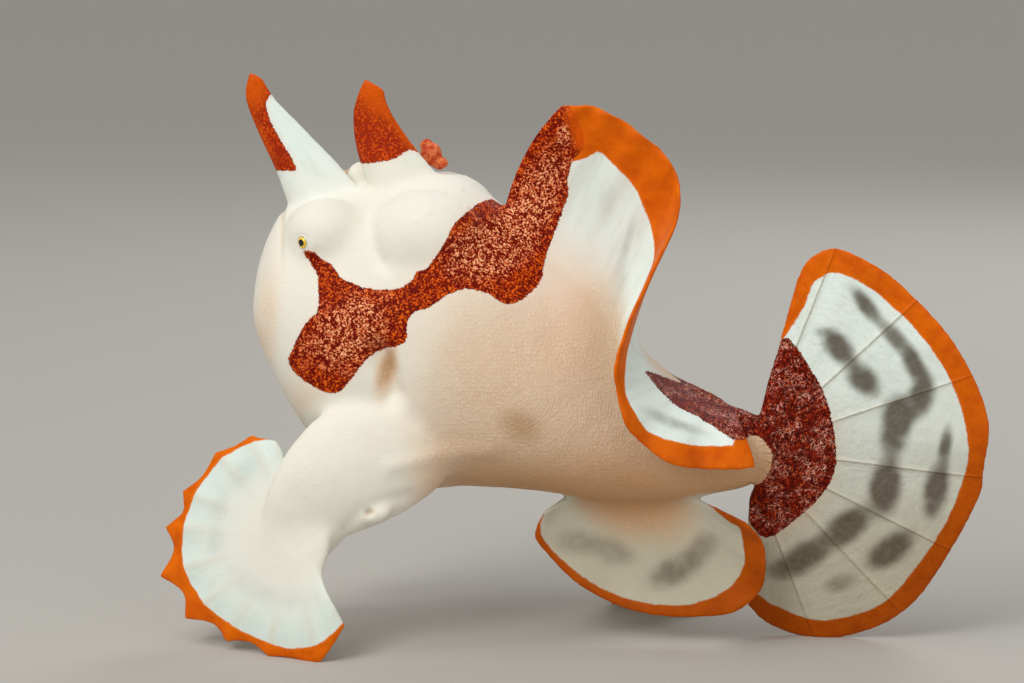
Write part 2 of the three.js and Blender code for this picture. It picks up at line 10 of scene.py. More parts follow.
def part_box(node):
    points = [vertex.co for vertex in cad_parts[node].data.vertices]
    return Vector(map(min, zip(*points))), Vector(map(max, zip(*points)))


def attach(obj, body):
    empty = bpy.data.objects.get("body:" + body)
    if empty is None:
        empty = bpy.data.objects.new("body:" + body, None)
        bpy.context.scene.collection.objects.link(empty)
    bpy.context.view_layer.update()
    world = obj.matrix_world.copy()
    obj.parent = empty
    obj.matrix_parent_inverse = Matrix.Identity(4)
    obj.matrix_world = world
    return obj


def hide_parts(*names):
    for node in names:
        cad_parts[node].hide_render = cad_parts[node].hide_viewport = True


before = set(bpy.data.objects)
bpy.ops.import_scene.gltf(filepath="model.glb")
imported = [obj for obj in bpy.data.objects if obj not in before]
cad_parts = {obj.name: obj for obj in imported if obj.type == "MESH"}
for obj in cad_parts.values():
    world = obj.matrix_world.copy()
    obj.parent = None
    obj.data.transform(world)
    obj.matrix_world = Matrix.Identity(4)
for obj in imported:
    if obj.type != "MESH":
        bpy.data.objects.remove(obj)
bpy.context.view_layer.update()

# A young clown frogfish standing on its paired fins and its tail. Shapes are in millimetres, +Z up, head
# towards -X, the fish's left side towards -Y. Most are drawn in the upright fish, which then leans to its
# left.
MM = 0.001
SIDES = {"left": -1, "right": 1}
LEAN = math.radians(8)
LEAN_AXIS_Z = 28.0

# The side view in which the markings are drawn: across and up, in millimetres at the fish
VIEW_FROM = np.array([58.695, -332.876, 83.504])
VIEW_TURN = math.radians(10)
VIEW_DOWN = math.radians(8)
VIEW_DISTANCE = 341.333
VIEW_CENTRE_UP = 36.0
LENS_MM = 100.0
SENSOR_MM = 36.0

# How finely the skin and its pieces are made, and how fast their hollows and crests are smoothed
VOXEL = 0.21
LURE_VOXEL = 0.11
BALL_SIDES = 40
ARM_RINGS = 60
ARM_SIDES = 48
EYE_RINGS = 56
EYE_SIDES = 64
EYE_REFINING = (3.2, 2.24)  # how far round an eye the skin is divided once, and once more, in mm
ROD_RINGS = 90
ROD_SIDES = 20
HOLLOW = 0.9
CREST = 0.12
FLESH_ROUNDS = 46
LURE_ROUNDS = 22
# Further smoothing round some places: rounds, and the weight of crests
SOFTENING = {"dome": (50, 0.5), "arm": (170, 0.125), "gill": (30, 0.5), "heel": (90, 0.3)}
# The skin's soft unevenness: height, period and seed
SKIN_WAVES = [(0.06, 11, 3), (0.012, 4.3, 5), (0.006, 1.5, 8)]
# The spinules: cells for each mm of skin, and how the pattern is stretched into rows
SPINULE_SCALE = 2.9
SPINULE_ROWS = (1.45, 1.45, 0.66)
FIN_EDGE = 0.26  # half thickness of a fin at its margin
FAR_AWAY = 9.0  # stands for any larger distance in a field, in mm
MARGIN_SHIFTS = np.linspace(-1, 1, 9)

# The body: [back x, back z, belly x, belly z, half width] from the face to the end of the tail stalk
STATIONS = [
    [-30.0, 46.3, -30.2, 36.5, 5.2],
    [-28.7, 49.3, -28.9, 33.1, 7.6],
    [-26.9, 52.0, -27.1, 29.6, 9.4],
    [-24.5, 53.2, -25.2, 26.4, 10.6],
    [-20.8, 54.1, -22.4, 22.5, 11.6],
    [-15.9, 55.0, -17.2, 19.5, 12.3],
    [-10.4, 56.2, -11.0, 17.9, 12.6],
    [-5.8, 56.2, -5.4, 18.4, 12.6],
    [-1.2, 53.2, 0.1, 18.4, 12.0],
    [3.9, 49.1, 5.6, 17.8, 10.6],
    [9.2, 43.7, 11.1, 17.0, 8.8],
    [13.8, 36.9, 16.6, 16.9, 6.8],
    [18.6, 32.2, 21.4, 17.4, 5.0],
    [23.3, 30.0, 25.3, 18.2, 3.7],
    [28.1, 28.4, 28.4, 19.1, 2.7],
    [30.8, 27.3, 30.8, 20.7, 1.7],
]
FACE = [-31.3, 0, 40.9]
STALK_END = [31.8, 0, 23.6]
BACK_NARROWING = 0.1
BODY_RINGS = 150
BODY_SIDES = 130

# Swellings of the head, [x, y, z] and half sizes: the eye's dome and the shoulder hump, on both sides
SWELLINGS = [
    {"at": [-20.8, 4.9, 50.2], "half": [4.8, 3.9, 4.5]},
    {"at": [-8.8, 5.2, 49.3], "half": [7.3, 4.9, 6.4]},
]
# Where the skin runs softly over the dome and the hump, [x, y, z] and reach
SOFT_SPOTS = [(-21.5, 6.5, 49.0, 8.5), (-11.5, 8.5, 47.5, 9.5)]
# A rounded fold between the free spines, on the right side only
SPINE_FOLD = {"at": [-18.2, 2.9, 55.1], "half": [1.8, 1.4, 2.2]}
# The eye's centre in the solids, by which the two frames are tied, and here, further back in its dome
SOLID_EYE = [-22.9, 7.35, 50.0]
EYE = [-22.4, 7.5, 50.0]
EYE_RADIUS = 1.2
GAZE = [-0.5, 0.86, 0.06]
PUPIL_RADIUS = 0.4
IRIS_RADIUS = 0.7
LID_RADIUS = 1.28
LID_OPENING = 0.7  # radius of the opening in the lids
LID_BLEND = 0.7  # how widely the lids run out into the eye's dome
LID_REACH = 4.2
CORNEA = 0.07

# The free dorsal spines with the skin behind them: front and rear edges, [x, z] from the head up
SPINE_2 = {
    "front": [[-25.6, 50], [-26.6, 52.8], [-27.9, 56.8], [-29.9, 61.5], [-31.2, 65.6], [-30.6, 68.7]],
    "rear": [[-15.5, 52], [-17.4, 54.3], [-20.6, 58.1], [-24.2, 61.9], [-27.4, 65.3], [-29.0, 67.9]],
    "flesh": 2.0,
}
SPINE_3 = {
    "front": [[-15.9, 53], [-17.0, 56.2], [-18.0, 60.0], [-18.2, 63.6], [-17.5, 66.2], [-16.6, 68.0]],
    "rear": [[-5.6, 53], [-7.9, 56.2], [-9.9, 58.6], [-12.2, 61.8], [-13.8, 64.6], [-14.3, 66.7]],
    "flesh": 2.4,
}

# The dorsal fin's rays: root [x, z], tip [x, y, z] and the push of the middle off the straight line
DORSAL = [
    [-0.2, 53.0, 6.8, 0, 65.0, -0.8, 0, 0.6],
    [2.7, 50.5, 10.1, 0, 65.1, -0.8, 0.2, 0.8],
    [5.3, 47.9, 13.4, 0.4, 63.6, -0.5, 0.5, 0.8],
    [8.0, 45.2, 17.2, 0.4, 60.8, 0, 0.9, 0.6],
    [10.6, 42.2, 19.9, -0.4, 58.0, 0.4, 1.2, 0.4],
    [12.7, 39.0, 20.8, -3.2, 53.4, 0, 1.0, -0.4],
    [14.7, 35.8, 18.4, -7.8, 47.6, -0.8, 0.2, -0.6],
    [16.8, 33.5, 15.6, -11.4, 41.4, -0.6, -0.8, -0.2],
    [18.9, 31.6, 14.4, -13.3, 35.9, 0, -1.2, 0.6],
    [21.5, 30.2, 16.4, -12.6, 28.8, 0, -1.6, 1.6],
    [24.2, 29.0, 22.2, -10.4, 24.4, 0, -1.4, 1.6],
    [26.6, 28.2, 30.0, -6.6, 23.4, 0.2, -1.0, 1.2],
]
ANAL_MARGIN = [
    [4.4, 16.3], [3.2, 13.6], [4.5, 11.0], [8.4, 7.3], [13.2, 4.6], [20.5, 3.5], [26.5, 4.2],
    [30.2, 7.0], [31.0, 10.4], [30.6, 13.4], [28.6, 16.0],
]
ANAL_ROOT = [[10.4, 19.4], [15.8, 19.4]]
ANAL_FLARE = -4.4
TAIL_MARGIN = [
    [34.0, 44.2], [35.6, 46.9], [38.2, 48.1], [42.0, 46.9], [46.3, 43.8], [52.4, 37.2], [56.5, 28.4],
    [56.3, 21.8], [55.4, 17.1], [50.0, 6.6], [46.1, 2.4], [41.3, -0.1], [36.4, -0.8], [31.2, 0.5],
    [28.2, 3.2],
]
TAIL_ROOT = [[29.9, 28.2], [31.4, 24.0], [28.6, 17.6]]
TAIL_CUP = 1.6

# Arms in the leaning fish: [x, y, z, half width, half thickness] from the shoulder to the palm
LEFT_ARM = [
    [-6.4, -5.0, 27.6, 6.2, 5.0],
    [-11.4, -9.3, 25.4, 7.3, 4.4],
    [-15.3, -11.4, 23.1, 7.5, 3.6],
    [-18.9, -12.8, 20.5, 6.9, 2.9],
    [-21.4, -13.3, 17.7, 5.9, 2.2],
    [-22.6, -13.3, 15.1, 5.0, 1.7],
    [-23.2, -13.3, 12.8, 4.2, 1.4],
    [-23.4, -13.3, 10.4, 2.9, 1.1],
]
# The flat palm that the left arm spreads into: half sizes ahead, outwards and up in the fan's own plane
LEFT_PALM = {"at": [-25.1, -13.3, 14.0], "half": [6.6, 1.4, 7.4]}
# Where the left arm runs softly out into its palm, and round the gill opening, [x, y, z] and reach
ARM_SOFT_SPOTS = [(-25.1, -13.3, 14.0, 11.0), (-25.0, -12.6, 20.0, 8.5)]
GILL_SOFT_REACH = 4.4
# The heel of the right hand, where the arm meets its fan
RIGHT_HEEL = {"at": [15.2, 15.9, 10.2], "half": [3.6, 2.6, 3.8], "reach": 7.0}
RIGHT_ARM = [
    [-6.0, 6.0, 27.5, 6.2, 4.6],
    [-1.0, 10.6, 26.0, 6.2, 4.0],
    [4.5, 13.2, 23.4, 5.8, 3.3],
    [9.5, 14.8, 19.8, 5.2, 2.7],
    [13.2, 15.6, 15.6, 4.6, 2.1],
    [15.0, 15.8, 12.0, 4.0, 1.6],
    [15.6, 15.9, 9.4, 3.2, 1.2],
]
ARM_OUTWARD = {"left": [0.2, -1, 0.05], "right": [0.75, 0.6, 0.2]}
GILLS = {
    "left": {"at": [-14.6, -13.6, 17.4], "half": [2.7, 1.0, 1.6]},
    "right": {"at": [7.2, 15.4, 17.0], "half": [1.4, 1.0, 1.9]},
}
GILL_PORE = 0.42
GILL_DEPTH = 0.5
GILL_REACH = 1.6

# Paired fans in the leaning fish
LEFT_FAN_PALM = [-23.6, -13.2, 14.2]
LEFT_FAN_FORWARD = [-0.965, 0.261, 0]
LEFT_FAN_UP = [0.049, 0.183, 0.982]
LEFT_FAN_RAYS = [  # angle above the forward axis in degrees, length
    [78, 10.0], [72, 11.9], [58, 13.4], [37, 14.8], [14, 16.4], [-2, 18.0], [-20, 19.3], [-39, 18.2],
    [-59, 15.8], [-82, 14.9], [-107, 15.5], [-128, 12.6],
]
LEFT_PALM_RADIUS = 3.8
LEFT_PALM_SPREAD = 1.25
RIGHT_FAN_PALM = [15.2, 15.4, 10.4]
RIGHT_FAN_PRINT = [16.2, 17.4]
RIGHT_FAN_HALF_PRINT = [6.2, 9.6]
RIGHT_FAN_TURN = math.radians(104)
RIGHT_FAN_RAYS = 10
RIGHT_PALM_RADIUS = 3.2
# How far the margin falls back between two rays, as a part of the ray
SCALLOP = 0.07
LEFT_FAN_SCALLOP = {"least": 0.03, "deepest": 0.11, "at": 0.56, "width": 0.24}
PELVIC_ROOT = [-21.2, 3.4, 25.2]
PELVIC_ROOT_HALF = 2.2
PELVIC_TIPS = [
    [-29.6, 4.6, 15.6], [-29.0, 5.8, 11.2], [-26.6, 6.4, 8.4], [-23.8, 6.4, 8.8], [-22.6, 5.6, 12.4],
]

# The lure, folded back along the right side of the free spines
ROD = [
    [-25.6, 2.8, 51.2], [-25.2, 3.9, 54.0], [-22.5, 4.6, 55.2], [-18.0, 4.6, 56.1], [-14.2, 4.1, 57.3],
    [-10.4, 3.3, 58.4],
]
ROD_RADIUS = 0.28
LURE_PARTS = [
    {"at": [-9.6, 3.2, 58.3], "half": [1.3, 0.8, 1.5]},
    {"at": [-8.6, 3.0, 57.3], "half": [1.1, 0.45, 0.8]},
    {"at": [-10.1, 3.2, 59.3], "half": [0.8, 0.4, 0.9]},
]

# Markings drawn in the side view, [across, up]: the red saddle with its cheek lobe, and the tail's patch
SADDLE = [
    (-25.0, 46.9), (-23.9, 46.9), (-22.8, 45.9), (-21.6, 45.1), (-20.5, 43.7), (-19.1, 43.0), (-17.4, 42.4),
    (-15.1, 42.2), (-13.4, 42.4), (-12.0, 43.4), (-11.4, 44.3), (-10.1, 44.9), (-8.9, 46.6), (-7.9, 48.3),
    (-7.0, 50.0), (-5.5, 51.4), (-3.8, 52.7), (-2.6, 53.1), (-1.4, 53.4), (-0.9, 55.6), (1.2, 60.2),
    (3.5, 64.3), (5.2, 65.4), (7.0, 64.0), (8.3, 61.6), (8.6, 59.2), (7.4, 57.9), (6.7, 55.7), (6.6, 53.3),
    (5.3, 49.6), (4.1, 46.3), (3.5, 43.5), (2.5, 42.1), (0.7, 40.7), (-1.1, 40.6), (-3.2, 41.9), (-5.5, 42.3),
    (-7.0, 41.9), (-8.3, 41.2), (-10.1, 40.0), (-11.8, 39.5), (-12.6, 38.1), (-12.6, 36.4), (-13.4, 35.6),
    (-15.4, 35.0), (-17.2, 34.1), (-18.5, 32.5), (-19.7, 31.0), (-20.8, 29.9), (-22.0, 29.8), (-23.6, 30.5),
    (-25.3, 31.6), (-26.4, 32.8), (-26.8, 33.9), (-26.4, 35.0), (-25.6, 36.8), (-24.5, 38.5), (-23.5, 39.5),
    (-23.2, 41.6), (-23.4, 43.9), (-24.2, 45.5),
]
TAIL_PATCH = [
    (16.0, 32.3), (18.2, 31.8), (22.6, 30.2), (26.2, 29.4), (28.3, 29.3), (30.4, 30.4), (31.4, 33.1),
    (32.2, 35.8), (33.1, 36.4), (34.6, 34.7), (36.0, 32.5), (37.3, 30.2), (38.4, 26.6), (38.9, 21.4),
    (37.2, 17.6), (34.2, 14.8), (30.5, 12.4), (28.3, 14.8), (27.5, 17.9), (29.9, 19.0), (31.1, 20.9),
    (31.0, 23.1), (29.4, 24.7), (27.1, 24.1), (25.2, 25.1), (22.6, 26.8), (19.2, 28.7),
]
# The red of the two free spines: the front band of the blade, and the horn
BLADE_MARK = [
    (-32.9, 69.3), (-31.2, 69.5), (-29.8, 68.1), (-28.8, 66.2), (-29.2, 65.3), (-29.5, 64.6), (-29.3, 63.4),
    (-28.8, 62.1), (-28.2, 61.0), (-27.7, 60.1), (-27.1, 59.1), (-26.6, 58.3), (-26.2, 57.4), (-25.9, 56.8),
    (-26.3, 56.5), (-27.2, 56.5), (-28.3, 56.5), (-29.5, 56.3), (-31.4, 59.0), (-32.9, 63.8),
]
HORN_MARK = [
    (-20.2, 68.0), (-17.5, 69.1), (-15.2, 67.9), (-13.9, 65.9), (-13.6, 64.0), (-12.5, 62.1), (-11.0, 60.2),
    (-10.2, 59.0), (-10.8, 58.5), (-12.2, 59.0), (-13.2, 58.5),
    (-14.2, 58.0), (-15.2, 57.7), (-16.4, 57.5), (-18.0, 57.4), (-20.0, 59.0), (-20.9, 63.8),
]
# Where the red marks carry pink grains, and where the free spines are plain orange
PINK_PATCHES = [
    [(-19.6, 37.0), 6.2, 4.0, 40, 0.9],
    [(-3.4, 47.2), 6.0, 3.4, 28, 0.85],
    [(2.2, 51.8), 9.0, 2.9, 62, 0.95],
    [(6.2, 60.6), 1.4, 0.8, 80, 1.0],
]
FIRE_PATCHES = [
    [(-16.2, 65.8), 3.6, 2.2, -50, 1.0],
    [(-12.8, 61.8), 5.0, 1.2, -57, 1.0],
    [(-30.8, 66.8), 3.2, 1.6, 80, 1.0],
    [(-29.9, 60.0), 3.2, 0.7, -66, 0.6],
    [(7.9, 61.6), 3.6, 1.1, -74, 1.0],
]
# Grey blotches in the side view, on the dorsal fin partly painted shade in the membrane's folds: centre, half
# length, half width, direction in degrees, strength
FIN_BLOTCHES_AND_FOLD_SHADE = {
    "tail": [
        [(37.2, 37.2), 1.2, 0.6, 0, 0.4],
        [(39.2, 35.3), 2.5, 1.5, -50, 1.0],
        [(42.1, 31.5), 2.4, 1.6, -45, 1.0],
        [(42.6, 40.2), 2.8, 1.0, -52, 0.85],
        [(46.0, 36.4), 2.4, 1.1, -50, 0.8],
        [(48.2, 33.3), 2.6, 1.2, -65, 0.9],
        [(49.2, 29.6), 2.6, 1.5, 80, 1.0],
        [(46.4, 27.2), 2.4, 2.0, 75, 1.1],
        [(45.8, 24.4), 2.2, 1.7, 80, 0.9],
        [(44.8, 18.6), 3.4, 1.9, 80, 1.1],
        [(50.9, 18.2), 3.4, 1.5, 78, 1.0],
        [(52.0, 23.4), 2.6, 0.8, 82, 0.8],
        [(40.0, 13.6), 3.6, 1.8, 38, 1.0],
        [(45.4, 11.0), 3.4, 1.7, 35, 0.95],
        [(34.9, 10.0), 3.2, 1.8, 32, 0.95],
        [(39.4, 7.0), 2.2, 1.1, 20, 0.5],
        [(31.6, 8.4), 1.8, 1.2, 0, 0.5],
    ],
    "anal": [
        [(7.6, 11.9), 2.6, 1.8, 0, 0.42],
        [(12.2, 10.8), 2.8, 1.8, -20, 0.45],
        [(19.4, 8.4), 3.4, 1.9, 25, 0.6],
        [(22.8, 11.2), 2.4, 1.8, 50, 0.5],
    ],
    # the dorsal fin's include painted shade in the membrane's folds
    "dorsal": [
        [(12.8, 43.4), 5.0, 1.0, 80, 0.26],
        [(11.2, 52.2), 3.0, 1.2, 85, 0.2],
        [(9.8, 36.2), 2.4, 0.5, -62, 0.5],
        [(14.2, 49.5), 3.4, 0.6, 75, 0.2],
        [(18.4, 26.6), 3.2, 0.8, -25, 0.4],
        [(21.6, 25.6), 2.6, 0.6, -20, 0.3],
    ],
    "fan_left": [
        [(-32.3, 20.2), 2.4, 1.5, 50, 0.3],
        [(-35.0, 16.0), 2.0, 1.2, 75, 0.3],
        [(-35.4, 11.8), 2.0, 1.3, 90, 0.34],
        [(-31.4, 7.2), 3.0, 1.7, 145, 0.36],
        [(-26.8, 5.4), 3.2, 1.5, 175, 0.34],
    ],
}
# Tan marks of the left side: the spot on the trunk, and painted shade in the dent under the cheek lobe and in
# the gill opening
STAINS_AND_SHADE = [
    [(1.0, 26.0), 2.5, 1.7, -25, 1.0],
    [(-15.2, 33.0), 2.4, 0.8, 76, 1.1],
    [(-17.2, 15.4), 0.6, 0.35, 30, 0.8],
]
# Where the white of the head runs warm and darker: painted shade in the dent under the cheek lobe, a warmer
# tone below the cheek, and on the front of the face a warmer tone with painted shade
WARMTH_AND_SHADE_PATCHES = [
    [(-15.2, 32.4), 3.4, 1.3, 76, 0.75],
    [(-24.4, 27.6), 4.6, 3.0, -62, 0.32],
    [(-29.6, 38.0), 7.0, 1.8, 84, 0.4],
]

# Creases in the side view: the shoulder hump's front, the dent under the cheek lobe, the fold above the
# belly and the one at the left gill opening
HUMP_CREASE = [
    (-17.0, 52.4), (-17.4, 50.8), (-17.2, 48.8), (-16.8, 47.1), (-16.1, 45.8), (-15.2, 44.9), (-13.4, 44.0),
]
CHEEK_DENT = [(-16.1, 34.7), (-14.9, 31.8), (-14.4, 29.6)]
BELLY_FOLD = [(-14.5, 21.0), (-9.0, 22.4), (-3.0, 22.8)]
GILL_CREASE = [(-20.0, 13.5), (-18.2, 15.5), (-15.7, 16.6), (-12.1, 17.5)]
# The mouth's slit in the upright fish, [x, z]
MOUTH = [
    (-28.2, 52.4), (-26.9, 52.0), (-26.1, 50.9), (-25.8, 49.4), (-25.7, 47.8), (-25.4, 46.2), (-24.9, 45.0),
]

# Colours as screens show them, 0 to 255
PALETTE = {
    "white": (238, 235, 222), "cream": (244, 219, 192), "beige": (220, 174, 126), "pit tone and shade": (188, 144, 110),
    "tan": (184, 142, 92), "mouth crease shade": (206, 176, 124), "halo": (246, 222, 208),
    "fin": (236, 248, 243), "fin fold shade": (208, 218, 208), "paired fin": (206, 218, 208),
    "ray": (168, 150, 112), "veil": (212, 202, 176), "low_tone_and_shade": (173, 159, 127),
    "grey": (78, 66, 50), "light grey": (102, 90, 74), "bluish grey": (138, 156, 158),
    "orange": (230, 108, 0), "deep orange": (208, 88, 0), "dark orange": (130, 54, 0),
    "orange fleck": (238, 134, 10), "orange edge": (238, 124, 6),
    "dark red": (110, 14, 0), "maroon": (66, 4, 0), "light maroon": (132, 22, 0), "red edge": (104, 14, 0),
    "ember": (174, 38, 0), "bright ember": (230, 104, 8), "blush": (216, 84, 28), "pink": (255, 192, 144),
    "rust": (164, 44, 4), "bright rust": (216, 110, 62), "glint": (244, 172, 150),
    "spine": (208, 64, 18), "fire": (224, 92, 0),
    "pupil": (6, 5, 5), "gold": (224, 160, 18), "bright gold": (255, 220, 70), "eye rim": (96, 70, 30),
    "bait": (232, 128, 78), "dark bait": (192, 70, 34), "bait speck": (138, 44, 8), "rod": (236, 210, 174),
    "floor": (184, 181, 175),
}

# The studio, in metres and watts
LAMP_AIM = (-0.005, 0, 0.032)
LAMPS = {
    "key": {"at": (-0.22, -0.42, 0.37), "size": 0.26, "watts": 1.41, "tint": (1, 0.98, 0.95)},
    "fill": {"at": (0.40, -0.40, 0.14), "size": 0.40, "watts": 0.6, "tint": (1, 0.97, 0.93)},
    "back": {"at": (0.16, 0.42, 0.40), "size": 0.34, "watts": 0.9, "tint": (0.96, 0.98, 1)},
}
SKY = {"aim": (0.25, 0.35, -1), "strength": 0.9, "spread": math.radians(40)}
ROOM = {"color": (0.62, 0.61, 0.59, 1), "strength": 0.5}
FLOOR_HALF = 30


# Curves and fields
def stack(*columns):
    return np.stack(columns, -1)


def leaned(points, turn=LEAN):
    """Points of the upright fish, moved to where they are in the leaning one."""
    points = np.asarray(points, float)
    y = points[..., 1]
    z = points[..., 2] - LEAN_AXIS_Z
    c, s = math.cos(turn), math.sin(turn)
    return stack(points[..., 0], y * c - z * s, y * s + z * c + LEAN_AXIS_Z)


def upright(points):
    return leaned(points, -LEAN)


def leaned_xz(xz, y):
    """Points given by their [x, z] and their y in the upright fish, moved to the leaning one."""
    return leaned(stack(xz[..., 0], y, xz[..., 1]))


def between(start, end, share):
    return start + (end - start) * share[..., None]


def unit(vectors):
    vectors = np.asarray(vectors, float)
    return vectors / np.maximum(np.linalg.norm(vectors, axis=-1, keepdims=True), 1e-12)


def smooth_rows(rows, closed=False):
    """A smooth curve through rows of numbers: at(t) gives its rows for t from 0 to 1."""
    rows = np.asarray(rows, float)
    if closed:
        padded = np.vstack([rows[-1], rows, rows[0], rows[1]])
        last = len(rows)
    else:
        padded = np.vstack([2 * rows[0] - rows[1], rows, 2 * rows[-1] - rows[-2]])
        last = len(rows) - 1

    def at(t):
        place = np.clip(np.asarray(t, float), 0, 1) * last
        i = np.minimum(place.astype(int), last - 1)
        f = (place - i)[..., None]
        a, b, c, d = (padded[i + k] for k in range(4))
        bend = (2 * a - 5 * b + 4 * c - d) * f**2
        return 0.5 * (2 * b + (c - a) * f + bend + (3 * b - a - 3 * c + d) * f**3)

    return at


def step(value, low, high):
    """0 below low, 1 above high, smooth between; turned round where low is above high."""
    t = np.clip((np.asarray(value, float) - low) / (high - low), 0, 1)
    return t * t * (3 - 2 * t)


def bell(distance, width):
    return np.exp(-((distance / width) ** 2))


def line_distance(points, line):
    """Distance of each point from a polyline, and where along it, counted in its points."""
    line = np.asarray(line, float)
    best = np.full(len(points), np.inf)
    where = np.zeros(len(points))
    for i, (start, end) in enumerate(zip(line[:-1], line[1:])):
        along = end - start
        t = np.clip((points - start) @ along / (along @ along), 0, 1)
        gap = np.linalg.norm(points - start - t[:, None] * along, axis=1)
        closer = gap < best
        best[closer] = gap[closer]
        where[closer] = i + t[closer]
    return best, where


def outline_distance(points, outline):
    """Signed distance from a smooth closed outline, below 0 inside, limited to FAR_AWAY."""
    curve = smooth_rows(outline, closed=True)(np.linspace(0, 1, 3 * len(outline) + 1))
    result = np.full(len(points), FAR_AWAY)
    near = ((points > curve.min(0) - 3) & (points < curve.max(0) + 3)).all(1)
    if not near.any():
        return result
    some = points[near]
    gap, _ = line_distance(some, curve)
    inside = np.zeros(len(some), bool)
    for (x0, y0), (x1, y1) in zip(curve[:-1], curve[1:]):
        crosses = (y0 > some[:, 1]) != (y1 > some[:, 1])
        if y1 != y0:
            inside ^= crosses & (some[:, 0] < x0 + (x1 - x0) * (some[:, 1] - y0) / (y1 - y0))
    result[near] = np.where(inside, -gap, gap)
    return result


def waves(points, period, seed, count=14):
    """A smooth random field of about unit height whose bumps are a period apart."""
    random = np.random.default_rng(seed)
    directions = unit(random.normal(size=(count, 3)))
    lengths = period * random.uniform(0.75, 1.35, count)
    shifts = random.uniform(0, 2 * math.pi, count)
    total = 0
    for direction, length, shift in zip(directions, lengths, shifts):
        total = total + np.sin(points @ direction * (2 * math.pi / length) + shift)
    return total * math.sqrt(2 / count)


def view_axes():
    """The side view's right, up and forward directions."""
    forward = np.array([
        -math.sin(VIEW_TURN) * math.cos(VIEW_DOWN),
        math.cos(VIEW_TURN) * math.cos(VIEW_DOWN),
        -math.sin(VIEW_DOWN),
    ])
    right = np.array([math.cos(VIEW_TURN), math.sin(VIEW_TURN), 0])
    return right, np.cross(right, forward), forward


def side_view(points):
    """Where points of the leaning fish lie in the side view, [across, up]."""
    right, up, forward = view_axes()
    from_eye = points - VIEW_FROM
    depth = from_eye @ forward
    across = from_eye @ right / depth * VIEW_DISTANCE
    return stack(across, from_eye @ up / depth * VIEW_DISTANCE + VIEW_CENTRE_UP)


# Closed pieces of flesh, each as points and faces
def full_turn(sides):
    return np.linspace(0, 2 * math.pi, sides, endpoint=False)


def rings_round(middle, wide, thick, sides):
    """Rings of points, each round its middle with two half axes."""
    turn = full_turn(sides)[:, None]
    return middle[:, None] + wide[:, None] * np.cos(turn) + thick[:, None] * np.sin(turn)


def ring_piece(rings, start, end):
    count, sides = rings.shape[:2]
    points = np.vstack([[start], rings.reshape(-1, 3), [end]])
    last = len(points) - 1
    faces = []
    for k in range(sides):
        following = (k + 1) % sides
        faces.append((0, 1 + following, 1 + k))
        base = 1 + (count - 1) * sides
        faces.append((last, base + k, base + following))
        for i in range(count - 1):
            a = 1 + i * sides
            faces.append((a + k, a + following, a + sides + following, a + sides + k))
    return points, faces


def body_piece():
    rows = smooth_rows(STATIONS)(np.linspace(0, 1, BODY_RINGS))
    back, belly, half = rows[:, 0:2], rows[:, 2:4], rows[:, 4]
    turn = full_turn(BODY_SIDES)
    rise = np.cos(turn)
    xz = (back + belly)[:, None] / 2 + (back - belly)[:, None] / 2 * rise[None, :, None]
    y = half[:, None] * (1 - BACK_NARROWING * rise) * np.sin(turn)
    return ring_piece(leaned_xz(xz, y), leaned(FACE), leaned(STALK_END))


def ball_piece(at, half, lean=True):
    turn = full_turn(BALL_SIDES)
    down = np.linspace(0, math.pi, BALL_SIDES // 2 + 1)[1:-1, None]
    ring = stack(np.cos(down) + 0 * turn, np.sin(down) * np.cos(turn), np.sin(down) * np.sin(turn))
    place = leaned if lean else np.asarray
    ends = [place(np.add(at, [side * half[0], 0, 0])) for side in (1, -1)]
    return ring_piece(place(np.asarray(at) + ring * half), *ends)


def palm_piece():
    """The flat palm of the left arm, a lens in its fan's plane."""
    points, faces = ball_piece([0, 0, 0], LEFT_PALM["half"], lean=False)
    return points @ np.array(left_fan_axes()) + LEFT_PALM["at"], faces


def arm_piece(stations, outward):
    at = smooth_rows(stations)
    t = np.linspace(0, 1, ARM_RINGS)
    rows = at(t)
    along = unit(at(t + 0.02)[:, :3] - at(t - 0.02)[:, :3])
    wide = unit(np.cross(along, unit(outward)))
    thick = unit(np.cross(wide, along))
    blunt = np.sqrt(np.maximum(0.12, 1 - (2 * t - 1) ** 12))
    across = [axis * (rows[:, k] * blunt)[:, None] for k, axis in ((3, wide), (4, thick))]
    ring = rings_round(rows[:, :3], *across, ARM_SIDES)
    return ring_piece(ring, ring[0].mean(0), ring[-1].mean(0))


def sheet_grid(fin):
    """A fin's sheet as a grid: u, v, the points and the sheet's two directions, per unit of u and v."""
    u, v = np.meshgrid(*[np.linspace(0, 1, cells + 1) for cells in fin["grid"]], indexing="ij")
    place = fin["place"]
    small = 1e-3
    u_high, u_low = np.minimum(1, u + small), np.maximum(0, u - small)
    v_high, v_low = np.minimum(1, v + small), np.maximum(0, v - small)
    along_u = (place(u_high, v) - place(u_low, v)) / (u_high - u_low)[..., None]
    along_v = (place(u, v_high) - place(u, v_low)) / (v_high - v_low)[..., None]
    return u, v, place(u, v), along_u, along_v


def sheet_piece(fin):
    across, along = fin["grid"]
    u, v, middle, along_u, along_v = sheet_grid(fin)
    offset = unit(np.cross(along_u, along_v)) * fin["half"](u, v)[..., None]
    points = np.concatenate([(middle + offset).reshape(-1, 3), (middle - offset).reshape(-1, 3)])
    row = along + 1
    count = (across + 1) * row
    faces = []
    for i in range(across):
        for j in range(along):
            a = i * row + j
            faces.append((a, a + row, a + row + 1, a + 1))
            faces.append((count + a, count + a + 1, count + a + row + 1, count + a + row))
    for i in range(across):
        a = i * row
        b = a + along
        faces.append((a, count + a, count + a + row, a + row))
        faces.append((b, b + row, count + b + row, count + b))
    for j in range(along):
        b = across * row + j
        faces.append((j, j + 1, count + j + 1, count + j))
        faces.append((b, count + b, count + b + 1, b + 1))
    return points, faces


